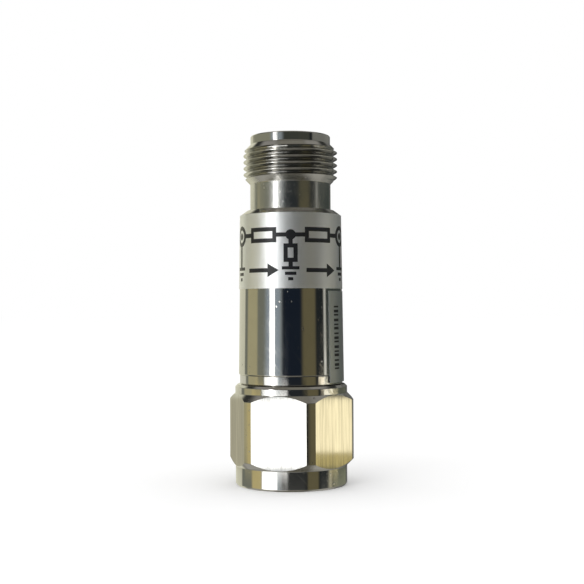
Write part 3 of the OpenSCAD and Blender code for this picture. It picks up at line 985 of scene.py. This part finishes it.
class ATTENUATOR_OT_coupling_nut(bpy.types.Operator):
    """Turns the coupling nut, cuts its six flats and its inner thread"""

    bl_idname = "attenuator.coupling_nut"
    bl_label = "Coupling nut"

    def execute(self, context):
        nut = settings().nut
        edge = settings().body.edge
        form = ThreadForm()
        end = top("coupling_nut")
        apothem = nut.across_flats / 2
        corner_r = apothem / math.cos(HALF_CORNER) - nut.corner_trim
        front_r = nut.front_d / 2
        rear_r = nut.rear_d / 2
        rear_collar = end - nut.rear_len
        mouth_r = nut.mouth_d / 2
        bore_r = nut.bore_d / 2
        wall = end - nut.back_wall
        groove_low = foot("retaining_ring") - RING_PLAY
        groove_high = top("retaining_ring") + RING_PLAY
        crest_r = form.major_r - form.depth + form.clear
        root_r = form.major_r + form.clear
        relief_r = root_r + NUT_RELIEF
        piece = turn_piece(
            "hex_nut",
            [
                (mouth_r + edge, 0),
                (front_r - nut.front_edge, 0),
                (front_r, nut.front_edge),
                (front_r, nut.front_len),
                (corner_r, nut.front_len + nut.front_cone),
                (corner_r, rear_collar - nut.rear_cone),
                (rear_r, rear_collar),
                (rear_r, end - nut.rear_edge),
                (rear_r - nut.rear_edge, end),
                (bore_r, end),
                (bore_r, groove_high),
                (nut.groove_d / 2, groove_high),
                (nut.groove_d / 2, groove_low),
                (bore_r, groove_low),
                (bore_r, wall),
                (relief_r, wall),
                (relief_r, nut.thread_end),
                (crest_r, nut.thread_end - (relief_r - crest_r)),
                (crest_r, nut.mouth_len + mouth_r - crest_r),
                (mouth_r, nut.mouth_len),
                (mouth_r, edge),
            ],
        )
        self.cut_flats(piece, apothem)
        self.nick_corner(piece, rear_r, rear_collar)
        turns = math.ceil(nut.thread_end / form.pitch)
        section = form.groove(root_r, crest_r, NUT_THREAD_START)
        carve(piece, helix("nut_thread_cutter", section, form.pitch, turns))
        smooth(piece)
        place(piece, "nut", ["coupling_nut"], "polished_metal")
        return {"FINISHED"}

    def cut_flats(self, piece, apothem):
        """Cuts six flats, gives them their own finish and rounds their edges."""
        nut = settings().nut
        tone = settings().finish.metal
        set_materials(piece, polished(), ground_flat("ground_flat", tone, 0.035))
        normals = []
        for side in range(6):
            turn = nut.turn + side * FULL_TURN / 6
            normal = Vector((math.sin(turn), -math.cos(turn), 0))
            normals.append(normal)
            edit(piece)
            bpy.ops.mesh.bisect(
                plane_co=normal * apothem, plane_no=normal, use_fill=True, clear_outer=True, threshold=MERGE
            )
        bpy.ops.object.mode_set(mode="OBJECT")
        for face in piece.data.polygons:
            on_flat = any(
                face.normal.dot(normal) > FLAT_FACING
                and abs(face.center.dot(normal) - apothem) < FLAT_TOLERANCE
                for normal in normals
            )
            face.material_index = 1 if on_flat else 0
        apply_modifier(
            piece,
            "BEVEL",
            width=nut.flat_edge,
            segments=3,
            limit_method="ANGLE",
            angle_limit=FLAT_EDGE_BEND,
            use_clamp_overlap=True,
        )

    def nick_corner(self, piece, rear_r, rear_collar):
        """Knocks a small nick into the cone above one corner."""
        nut = settings().nut
        turn = nut.turn + NICK_TURN
        height = rear_collar - NICK_R + NICK_OUT
        radius = rear_r + NICK_R + NICK_OUT
        deselect_all()
        bpy.ops.mesh.primitive_ico_sphere_add(subdivisions=3, radius=NICK_R)
        cutter = bpy.context.object
        cutter.location = (radius * math.sin(turn), -radius * math.cos(turn), height)
        bpy.ops.object.transform_apply(location=True, rotation=True, scale=True)
        carve(piece, cutter)


class ATTENUATOR_OT_plug_contacts(bpy.types.Operator):
    """Makes the plug's slotted spring sleeve and its pin"""

    bl_idname = "attenuator.plug_contacts"
    bl_label = "Plug contacts"

    def execute(self, context):
        self.make_sleeve()
        self.make_pin()
        return {"FINISHED"}

    def make_sleeve(self):
        """Turns the spring sleeve and slots it into fingers."""
        contact = settings().contact
        edge = settings().body.edge
        low = foot("outer_contact")
        high = top("outer_contact")
        line_r = contact.line_bore_d / 2
        finger_r = contact.finger_d / 2
        root_r = contact.root_d / 2
        flange_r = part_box("outer_contact")[1].x
        seat = high - contact.flange_t
        piece = turn_piece(
            "spring_sleeve",
            [
                (line_r, low),
                (finger_r - edge, low),
                (finger_r, low + edge),
                (finger_r, low + contact.finger_len),
                (root_r, low + contact.finger_len),
                (root_r, seat),
                (flange_r, seat),
                (flange_r, high),
                (line_r, high),
            ],
            SMALL_STEPS,
            SLEEVE_ROUND,
        )
        half = contact.slot_w / 2
        near = (OVERCUT, -half, low - OVERCUT)
        far = (root_r + OVERCUT, half, low + contact.slot_len)
        for number in range(contact.slots):
            turn = contact.slot_turn + number * FULL_TURN / contact.slots
            carve(piece, block("slot_cutter", near, far, turn))
        smooth(piece)
        place(piece, "body", ["outer_contact"], "gold_plate", gold())

    def make_pin(self):
        """Turns the pin with its round tip and its neck inside the bead."""
        contact = settings().contact
        low = foot("centre_pin")
        high = top("centre_pin")
        pin_r = contact.pin_d / 2
        line_r = contact.line_d / 2
        neck_r = contact.captive_d / 2
        shoulder = low + contact.pin_len
        piece = turn_piece(
            "pin_contact",
            [
                (0, low),
                *((pin_r * share, low + rise) for share, rise in PIN_TIP),
                (pin_r, shoulder),
                (line_r, shoulder),
                (line_r, foot("plug_bead")),
                (neck_r, foot("plug_bead")),
                (neck_r, top("plug_bead")),
                (line_r, top("plug_bead")),
                (line_r, high),
                (0, high),
            ],
            SMALL_STEPS,
            CONTACT_ROUND,
        )
        cut_tab_slot(piece, "plug_tab", high - contact.tab_hold, high + OVERCUT)
        smooth(piece)
        place(piece, "body", ["centre_pin"], "gold_plate", gold())


def cut_tab_slot(piece, tab, low, high):
    """Cuts the slot in a contact's tail that takes a tab."""
    fit = settings().body.fit
    corner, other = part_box(tab)
    near = (corner.x - fit, corner.y - fit, low)
    far = (other.x + fit, other.y + fit, high)
    carve(piece, block("tab_cutter", near, far))


class ATTENUATOR_OT_socket_contact(bpy.types.Operator):
    """Makes the jack's slotted socket contact"""

    bl_idname = "attenuator.socket_contact"
    bl_label = "Socket contact"

    def execute(self, context):
        contact = settings().contact
        edge = settings().body.edge
        low = foot("socket_contact")
        high = top("socket_contact")
        line_r = contact.line_d / 2
        neck_r = contact.captive_d / 2
        hole_r = contact.socket_d / 2
        bottom = high - contact.socket_depth
        piece = turn_piece(
            "socket_tip",
            [
                (0, low),
                (line_r, low),
                (line_r, foot("jack_bead")),
                (neck_r, foot("jack_bead")),
                (neck_r, top("jack_bead")),
                (line_r, top("jack_bead")),
                (line_r, high - edge),
                (line_r - edge, high),
                (hole_r + edge, high),
                (hole_r, high - edge),
                (hole_r, bottom),
                (0, bottom - DRILL_CONE),
            ],
            SMALL_STEPS,
            CONTACT_ROUND,
        )
        half = contact.socket_slot_w / 2
        reach = line_r + OVERCUT
        for corner, other in (((-reach, -half), (reach, half)), ((-half, -reach), (half, reach))):
            carve(piece, block("slot_cutter", (*corner, bottom), (*other, high + OVERCUT)))
        cut_tab_slot(piece, "jack_tab", low - OVERCUT, low + contact.tab_hold)
        smooth(piece)
        place(piece, "body", ["socket_contact"], "gold_plate", gold())
        return {"FINISHED"}


class ATTENUATOR_OT_insulators(bpy.types.Operator):
    """Makes the two white beads that carry the contacts, and the rubber face seal"""

    bl_idname = "attenuator.insulators"
    bl_label = "Beads and seal"

    def execute(self, context):
        finish = settings().finish
        white = soft_finish("white_bead", finish.bead, 0.36, 2600.0, 3.0e-6, 0.06)
        red = soft_finish("red_rubber", finish.rubber, 0.62, 3200.0, 8.0e-6, 0.3)
        self.make_bead("plug_insulator", "plug_bead", white)
        self.make_bead("jack_insulator", "jack_bead", white)
        low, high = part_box("gasket")
        inner_r = settings().contact.root_d / 2 + SEAL_GAP
        section = [(inner_r, low.z), (high.x, low.z), (high.x, high.z), (inner_r, high.z)]
        seal = turn_piece("face_seal", section, SMALL_STEPS, SEAL_ROUND)
        smooth(seal)
        place(seal, "body", ["gasket"], "gasket_rubber", red)
        return {"FINISHED"}

    def make_bead(self, name, node, finish):
        """Turns a bead with dished faces and slits it."""
        contact = settings().contact
        low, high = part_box(node)
        inner_r = contact.captive_d / 2 + settings().body.fit
        line_r = contact.line_bore_d / 2
        outer_r = high.x
        dish_inner_r = contact.line_d / 2 + DISH_EDGE
        dish_outer_r = line_r - DISH_EDGE
        middle_r = (contact.line_d / 2 + line_r) / 2
        piece = turn_piece(
            name,
            [
                (inner_r, low.z),
                (dish_inner_r, low.z),
                (middle_r, low.z + DISH),
                (dish_outer_r, low.z),
                (outer_r, low.z),
                (outer_r, high.z),
                (dish_outer_r, high.z),
                (middle_r, high.z - DISH),
                (dish_inner_r, high.z),
                (inner_r, high.z),
            ],
            SMALL_STEPS,
            BEAD_ROUND,
        )
        half = contact.bead_slit / 2
        near = (0, -half, low.z - OVERCUT)
        far = (outer_r + OVERCUT, half, high.z + OVERCUT)
        carve(piece, block("slit_cutter", near, far))
        smooth(piece)
        place(piece, "body", [node], "bead_plastic", finish)


def face_outwards(piece):
    """Turns all faces of an open sheet or of loose patches away from the axis."""
    deselect_all()
    piece.data.update()
    for face in piece.data.polygons:
        outward = Vector((face.center.x, face.center.y, 0))
        face.select = face.normal.dot(outward) < 0
    for line in piece.data.edges:
        line.select = False
    for point in piece.data.vertices:
        point.select = False
    if not any(face.select for face in piece.data.polygons):
        return
    bpy.context.view_layer.objects.active = piece
    piece.select_set(True)
    bpy.ops.object.mode_set(mode="EDIT")
    bpy.ops.mesh.select_mode(type="FACE")
    bpy.ops.mesh.flip_normals()
    bpy.ops.mesh.select_mode(type="VERT")
    bpy.ops.object.mode_set(mode="OBJECT")


def wrap_film(name, low, high, span, turn):
    """A film of the label's thickness on the tapered tube, centred at a turn to the right of the front."""
    section = []
    for row in range(FILM_ROWS + 1):
        height = low + (high - low) * row / FILM_ROWS
        section.append((tube_radius(height), height))
    piece = draw_section(name, section, closed=False)
    steps = max(FILM_STEPS, round(LARGE_STEPS * span / FULL_TURN))
    spin_selected(span, steps)
    face_outwards(piece)
    piece.rotation_euler.z = turn - math.pi / 2 - span / 2
    activate(piece)
    bpy.ops.object.transform_apply(location=True, rotation=True, scale=True)
    apply_modifier(piece, "SOLIDIFY", thickness=settings().label.film_t, offset=1.0)
    apply_modifier(
        piece, "BEVEL", width=FILM_EDGE, segments=2, limit_method="ANGLE", angle_limit=FILM_EDGE_BEND
    )
    return piece


class FlatPrint:
    """Marks drawn flat in one mesh, across and up, and then wrapped onto a label."""

    def __init__(self, name):
        deselect_all()
        bpy.ops.mesh.primitive_plane_add(size=SEED)
        self.piece = bpy.context.object
        self.piece.name = name
        self.piece.data.name = name
        bpy.ops.object.mode_set(mode="EDIT")
        bpy.ops.mesh.select_mode(type="FACE")
        bpy.ops.mesh.select_all(action="SELECT")
        bpy.ops.mesh.delete(type="VERT")

    def bar(self, across, up, width, height):
        """A filled bar."""
        bpy.ops.mesh.select_all(action="DESELECT")
        bpy.ops.mesh.primitive_plane_add(size=1, location=(across, up, 0))
        bpy.ops.transform.resize(value=(width, height, 1), center_override=(across, up, 0))

    def box(self, across, up, width, height, stroke):
        """The outline of a rectangle."""
        left = across - width / 2 + stroke / 2
        right = across + width / 2 - stroke / 2
        self.bar(left, up, stroke, height)
        self.bar(right, up, stroke, height)
        self.bar(across, up + height / 2 - stroke / 2, width - 2 * stroke, stroke)
        self.bar(across, up - height / 2 + stroke / 2, width - 2 * stroke, stroke)

    def disc(self, across, up, radius, sides=40, turn=0.0):
        """A filled disc or polygon."""
        bpy.ops.mesh.select_all(action="DESELECT")
        bpy.ops.mesh.primitive_circle_add(
            vertices=sides, radius=radius, fill_type="NGON", location=(across, up, 0), rotation=(0, 0, turn)
        )

    def ring(self, across, up, radius, stroke):
        """A ring, inset from a disc."""
        self.disc(across, up, radius)
        bpy.ops.mesh.inset(thickness=stroke, use_boundary=True)
        bpy.ops.mesh.delete(type="FACE")

    def arrow(self, across, up, reach, stroke):
        """An arrow that points to the right."""
        head = ARROW_HEAD * stroke
        self.bar(across - head / 2, up, reach - head, stroke)
        self.disc(across + reach / 2 - head / 2, up, head, 3, -math.pi / 2)

    def earth(self, across, up, stroke):
        """Three bars of an earth sign, the widest on top."""
        for row, width in enumerate(EARTH_BARS):
            self.bar(across, up - row * EARTH_STEP * stroke, width * stroke, stroke * EARTH_STROKE)

    def drop(self, across, high, low, stroke):
        """An upright line between two heights."""
        self.bar(across, (high + low) / 2, stroke, high - low)

    def wrap(self, middle_turn):
        """Slices the marks finely, wraps them round the tube and gives them the ink's thickness."""
        label = settings().label
        piece = self.piece
        bpy.ops.mesh.select_mode(type="VERT")
        bpy.ops.object.mode_set(mode="OBJECT")
        reach = max(abs(point.co.x) for point in piece.data.vertices)
        edit(piece)
        slices = int(reach / PRINT_SLICE)
        for number in range(-slices, slices + 1):
            bpy.ops.mesh.select_all(action="SELECT")
            bpy.ops.mesh.bisect(plane_co=(number * PRINT_SLICE, 0, 0), plane_no=(1, 0, 0), threshold=MERGE)
        bpy.ops.object.mode_set(mode="OBJECT")
        for point in piece.data.vertices:
            across, up = point.co.x, point.co.y
            radius = tube_radius(up) + label.film_t + INK_LIFT
            turn = middle_turn + across / radius
            point.co = (radius * math.sin(turn), -radius * math.cos(turn), up)
        face_outwards(piece)
        apply_modifier(piece, "SOLIDIFY", thickness=label.ink_t, offset=1.0)
        return piece


class ATTENUATOR_OT_rating_label(bpy.types.Operator):
    """Wraps the rating label round the tube and prints a plain circuit diagram on it"""

    bl_idname = "attenuator.rating_label"
    bl_label = "Rating label"

    def execute(self, context):
        label = settings().label
        low = foot("rating_label")
        high = top("rating_label")
        film = wrap_film("rating_film", low, high, FULL_TURN - label.seam, 0.0)
        smooth(film)
        silver = label_film("silver_film", settings().finish.film)
        place(film, "body", ["rating_label"], "label_film", silver)
        marks = self.draw_circuit(low)
        place(marks, "body", [], "label_film", ink())
        return {"FINISHED"}

    def draw_circuit(self, low):
        """A general tee circuit: two ports, two resistors in line and one to earth."""
        stroke = settings().label.stroke
        line = low + 8.7 * MM
        row = low + 2.95 * MM
        earth = row + 0.35 * MM
        port_r = 1.75 * MM
        shunt = line - 2.95 * MM
        shunt_h = 3.0 * MM
        shunt_foot = line - 4.45 * MM
        marks = FlatPrint("rating_marks")
        for side in (-1, 1):
            port = side * 10.6 * MM
            marks.ring(port, line, port_r, stroke)
            marks.disc(port, line, 0.6 * MM, 24)
            marks.bar(side * 8.1 * MM, line, 1.5 * MM, stroke)
            marks.box(side * 4.85 * MM, line, 5.0 * MM, 2.5 * MM, stroke)
            marks.bar(side * 1.45 * MM, line, 1.8 * MM, stroke)
            marks.drop(port, line - port_r, earth, stroke)
            marks.earth(port, earth, stroke)
            marks.arrow(side * 5.2 * MM, row, 5.2 * MM, stroke)
        marks.disc(0, line, 0.85 * MM, 28)
        marks.bar(0, line - 1.1 * MM, stroke, 0.7 * MM)
        marks.box(0, shunt, 2.3 * MM, shunt_h, stroke)
        marks.drop(0, shunt_foot, earth, stroke)
        marks.earth(0, earth, stroke)
        return marks.wrap(0.0)


class ATTENUATOR_OT_serial_label(bpy.types.Operator):
    """Wraps the narrow label on the lower right of the tube and prints plain bars on it"""

    bl_idname = "attenuator.serial_label"
    bl_label = "Serial label"

    def execute(self, context):
        label = settings().label
        low = foot("serial_label")
        high = top("serial_label")
        span = label.serial_w / tube_radius(low)
        film = wrap_film("serial_film", low, high, span, label.serial_turn)
        smooth(film)
        # Painted shade: a darker copy of the label film for the sticker on the tube's dark right side
        shaded_sticker = label_film("grey_film", settings().finish.grey_film)
        place(film, "body", ["serial_label"], "label_film", shaded_sticker)
        marks = FlatPrint("serial_marks")
        column = -label.serial_w / 2 + SERIAL_INSET
        height = low + SERIAL_FOOT
        for row in range(SERIAL_BARS):
            bar = (0.28 + 0.17 * (row * row * 5 % 4)) * MM
            marks.bar(column, height + bar / 2, SERIAL_BAR_W, bar)
            gap = (0.24 + 0.13 * (row * 7 % 3)) * MM
            height += bar + gap
        piece = marks.wrap(label.serial_turn)
        place(piece, "body", [], "label_film", ink())
        return {"FINISHED"}


class ATTENUATOR_OT_inner_finish(bpy.types.Operator):
    """Gives the hidden pieces their finishes"""

    bl_idname = "attenuator.inner_finish"
    bl_label = "Inner finishes"

    def execute(self, context):
        finish = settings().finish
        steel = turned_metal("dark_spring_steel", finish.steel, 0.26)
        brass = turned_metal("bare_brass", finish.brass, 0.22)
        carrier = turned_metal("turned_aluminium", finish.carrier, 0.24)
        card = soft_finish("fired_ceramic", finish.ceramic, 0.5, 4200.0, 2.0e-6, 0.08)
        finishes = {
            "retaining_ring": steel,
            "plug_bead_bush": brass,
            "jack_bead_bush": brass,
            "carrier_front": carrier,
            "carrier_rear": carrier,
            "plug_tab": gold(),
            "jack_tab": gold(),
            "attenuator_card": card,
        }
        for node, material in finishes.items():
            set_materials(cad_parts[node], material)
        return {"FINISHED"}


# Azimuths and elevations of the light tent's panels, in degrees
ALL_ROUND = (-200, 200)
TALL = (-36, 34)
# Elevations that the flange ring, the nut's rear collar, its flats and its front collar mirror
RING = (-4.75, -4.0)
COLLAR = (-5.4, -4.75)
FLATS = (-9.75, -5.5)
FOOT = (-20, -9.75)
SOFTBOX = (2.8, 2.8, 2.8)
# What the metal mirrors, laid over each other in this order: azimuth to the right of the camera, elevation,
# softness of the upright and of the level edges, all in degrees, and the colour
PANELS = (
    # Pale panel behind on the left, wider at the ring and dimmer at the flats
    ((-190, -121), TALL, 4, 4, (0.78, 0.77, 0.61)),
    ((-190, -111), RING, 3, 0.1, (0.78, 0.77, 0.66)),
    ((-190, -112), FLATS, 4, 0.2, (0.55, 0.52, 0.38)),
    # Grey and tan panels on the left
    ((-121, -20), TALL, 4, 4, (0.22, 0.23, 0.19)),
    ((-111, -79), (-9.75, 4.5), 3, 0.5, (0.5, 0.46, 0.28)),
    ((-108, -97), (4.5, 9), 3, 0.5, (0.42, 0.4, 0.27)),
    ((-88, -64), (-36, -4.75), 3, 0.2, (0.66, 0.56, 0.27)),
    ((-135, -50), (9.8, 34), 5, 0.5, (0.32, 0.32, 0.24)),
    # Dark panel in front and olive one on the right, lighter higher up
    ((-19, 25), TALL, 7, 4, (0.012, 0.018, 0.03)),
    ((25, 56), TALL, 5, 4, (0.16, 0.14, 0.078)),
    ((-19, 34), (-36, -4.75), 3, 0.1, (0.03, 0.032, 0.032)),
    ((34, 64), (-36, -4.75), 3, 0.1, (0.16, 0.14, 0.078)),
    ((-25, 60), (8, 40), 6, 2.5, (0.06, 0.065, 0.055)),
    ((57, 76), TALL, 3, 4, (0.02, 0.024, 0.026)),
    # White softbox on the left, with its glow and its wider foot
    ((-57, -22), (-36, 12), 7, 3, (0.34, 0.4, 0.46)),
    ((-62, -24), (4.6, 8.4), 6, 0.5, (0.62, 0.62, 0.58)),
    ((-45.5, -38), (-30, 9.9), 3.5, 0.5, (7.0, 7.0, 7.0)),
    ((-50, -44), (9.9, 12), 2, 0.5, (2.4, 2.4, 2.6)),
    ((-51, -41), (13, 45), 2, 1, (5.0, 5.0, 5.0)),
    ((-62, -29), RING, 2, 0.1, SOFTBOX),
    ((-52, -34), COLLAR, 3, 0.1, SOFTBOX),
    ((-60, -8), FLATS, 3, 0.1, SOFTBOX),
    ((-62, -30), FOOT, 3, 0.1, SOFTBOX),
    # Narrow pale strip and dark corner on the right, with a cream card that stands low
    ((77, 83.5), (-1.2, 8), 2, 0.5, (0.62, 0.62, 0.57)),
    ((77, 83.5), (-4, -1.2), 2, 0.5, (0.95, 0.95, 0.88)),
    ((84.5, 150), TALL, 2, 4, (0.055, 0.066, 0.06)),
    ((66, 150), (9.8, 34), 3, 0.5, (0.25, 0.25, 0.23)),
    ((63, 80), RING, 2, 0.1, (1.9, 1.7, 1.3)),
    ((98, 147), COLLAR, 3, 0.1, (0.2, 0.21, 0.15)),
    ((70, 94), COLLAR, 2, 0.1, (2.6, 2.5, 2.1)),
    ((84, 110), (-8.85, -5.5), 3, 0.1, (1.75, 1.56, 1.02)),
    ((84, 110), (-9.75, -8.85), 3, 0.1, (0.72, 0.6, 0.25)),
    ((95, 150), FOOT, 4, 0.1, (0.26, 0.27, 0.19)),
    ((81, 91), FOOT, 4, 0.1, (0.5, 0.48, 0.35)),
    # Grey panel behind on the right
    ((151, 167), TALL, 3, 4, (0.17, 0.17, 0.16)),
    # Paler panels below
    ((-22, 28), (-36, -11.5), 4, 1, (0.16, 0.16, 0.15)),
    ((62, 150), (-36, -11.5), 4, 1, (0.3, 0.3, 0.27)),
    # Pale bands that only steep views mirror, the lower one bright on the left and dark on the right
    (ALL_ROUND, (-72, -38), 1, 6, (0.45, 0.44, 0.4)),
    ((-70, -12), (-72, -38), 10, 6, (1.0, 1.0, 0.95)),
    ((28, 72), (-72, -38), 10, 6, (0.2, 0.2, 0.18)),
    (ALL_ROUND, (48, 72), 1, 5, (0.32, 0.31, 0.29)),
    # Dim caps right above and right below
    (ALL_ROUND, (70, 95), 1, 4, (0.24, 0.23, 0.2)),
    (ALL_ROUND, (-95, -70), 1, 4, (0.17, 0.16, 0.13)),
)
# Colour between the panels
DIM_TENT = (0.042, 0.043, 0.04)


class ATTENUATOR_OT_studio(bpy.types.Operator):
    """Sets up the floor, the light tent, the lamp and the camera"""

    bl_idname = "attenuator.studio"
    bl_label = "Studio"

    def execute(self, context):
        self.make_floor()
        self.make_tent()
        self.make_world(context.scene)
        self.make_lamp()
        self.make_camera(context.scene)
        context.scene.view_settings.view_transform = "Standard"
        return {"FINISHED"}

    def make_floor(self):
        """A plain white floor that the metal doesn't mirror."""
        studio = settings().studio
        deselect_all()
        bpy.ops.mesh.primitive_plane_add(size=studio.floor_size)
        floor = bpy.context.object
        floor.name = "studio_floor"
        floor.visible_glossy = False
        material, _, shader, _ = start_material("studio_floor")
        shader.inputs["Base Color"].default_value = rgba(studio.floor)
        shader.inputs["Roughness"].default_value = 1.0
        shader.inputs["Specular IOR Level"].default_value = 0.0
        set_materials(floor, material)

    def make_tent(self):
        """A sphere of light panels that only mirror-like rays see."""
        studio = settings().studio
        deselect_all()
        bpy.ops.mesh.primitive_uv_sphere_add(segments=96, ring_count=48, radius=studio.tent_radius)
        tent = bpy.context.object
        tent.location.z = studio.eye_height
        tent.name = "light_tent"
        bpy.ops.object.shade_smooth()
        for rays in ("camera", "diffuse", "transmission", "volume_scatter", "shadow"):
            setattr(tent, "visible_" + rays, False)
        set_materials(tent, self.tent_material())

    def tent_material(self):
        """Light panels by azimuth and elevation, seen from the object."""
        material = bpy.data.materials.new("light_tent")
        material.use_nodes = True
        tree = material.node_tree
        tree.nodes.clear()
        place_on = tree.nodes.new("ShaderNodeTexCoord").outputs["Object"]
        ray = add_node(tree, "ShaderNodeVectorMath", {"operation": "NORMALIZE"}, Vector=place_on)
        parts = split(tree, ray.outputs["Vector"])
        azimuth = add_math(tree, "DEGREES", turn_from_front(tree, parts))
        elevation = add_math(tree, "DEGREES", add_math(tree, "ARCSINE", parts["Z"]))
        shown = rgba(DIM_TENT)
        for (left, right), (low, high), side_soft, level_soft, shade in PANELS:
            across = self.band(tree, azimuth, left, right, side_soft)
            up = self.band(tree, elevation, low, high, level_soft)
            shown = add_blend(tree, add_math(tree, "MULTIPLY", across, up), shown, rgba(shade))
        light = add_node(tree, "ShaderNodeEmission", Color=shown)
        output = tree.nodes.new("ShaderNodeOutputMaterial")
        tree.links.new(light.outputs["Emission"], output.inputs["Surface"])
        return material

    def band(self, tree, value, low, high, soft):
        """One between two limits and nothing outside them, with soft edges."""
        rise = add_range(tree, value, low - soft, low + soft, 0.0, 1.0)
        fall = add_range(tree, value, high - soft, high + soft, 1.0, 0.0)
        return add_math(tree, "MULTIPLY", rise, fall)

    def make_world(self, scene):
        """Even white light, and white wherever the camera sees past the floor."""
        world = bpy.data.worlds.new("studio_white")
        scene.world = world
        world.use_nodes = True
        tree = world.node_tree
        tree.nodes.clear()
        light = add_node(tree, "ShaderNodeBackground", Color=(1, 1, 1, 1), Strength=1.0)
        output = tree.nodes.new("ShaderNodeOutputWorld")
        tree.links.new(light.outputs["Background"], output.inputs["Surface"])

    def make_lamp(self):
        """A weak soft lamp from the upper left, for the shadow."""
        deselect_all()
        bpy.ops.object.light_add(type="AREA", location=LAMP_PLACE)
        lamp = bpy.context.object
        lamp.name = "soft_lamp"
        lamp.data.size = LAMP_SIZE
        lamp.data.energy = LAMP_POWER
        aim = Vector(LAMP_AIM) - lamp.location
        lamp.rotation_euler = aim.to_track_quat("-Z", "Y").to_euler()
        lamp.visible_glossy = False

    def make_camera(self, scene):
        """The camera at the photograph's place."""
        studio = settings().studio
        deselect_all()
        place_of_eye = (studio.eye_right, -studio.eye_distance, studio.eye_height)
        bpy.ops.object.camera_add(location=place_of_eye)
        camera = bpy.context.object
        camera.name = "camera"
        camera.data.lens = studio.focal
        camera.data.sensor_width = SENSOR
        camera.data.clip_start = NEAREST
        look = Matrix.Rotation(math.pi / 2 + studio.tilt, 3, "X") @ Matrix.Rotation(-studio.roll, 3, "Z")
        camera.rotation_euler = look.to_euler()
        scene.camera = camera


STEPS = (
    ATTENUATOR_OT_body_tube,
    ATTENUATOR_OT_plug_shell,
    ATTENUATOR_OT_jack_shell,
    ATTENUATOR_OT_coupling_nut,
    ATTENUATOR_OT_plug_contacts,
    ATTENUATOR_OT_socket_contact,
    ATTENUATOR_OT_insulators,
    ATTENUATOR_OT_rating_label,
    ATTENUATOR_OT_serial_label,
    ATTENUATOR_OT_inner_finish,
    ATTENUATOR_OT_studio,
)


class ATTENUATOR_PT_panel(bpy.types.Panel):
    """Lists the steps that build the attenuator"""

    bl_idname = "ATTENUATOR_PT_panel"
    bl_label = "Attenuator"
    bl_space_type = "VIEW_3D"
    bl_region_type = "UI"
    bl_category = "Attenuator"

    def draw(self, context):
        for step in STEPS:
            self.layout.operator(step.bl_idname)


CLASSES = (
    ThreadSizes,
    NutSizes,
    BodySizes,
    JackSizes,
    ContactSizes,
    LabelSizes,
    Finishes,
    Studio,
    AttenuatorSettings,
    *STEPS,
    ATTENUATOR_PT_panel,
)


def register():
    for kind in CLASSES:
        bpy.utils.register_class(kind)
    bpy.types.Scene.attenuator = PointerProperty(type=AttenuatorSettings)


def unregister():
    del bpy.types.Scene.attenuator
    for kind in reversed(CLASSES):
        bpy.utils.unregister_class(kind)


def main():
    register()
    for step in STEPS:
        family, name = step.bl_idname.split(".")
        getattr(getattr(bpy.ops, family), name)()
    deselect_all()


if __name__ == "__main__":
    main()
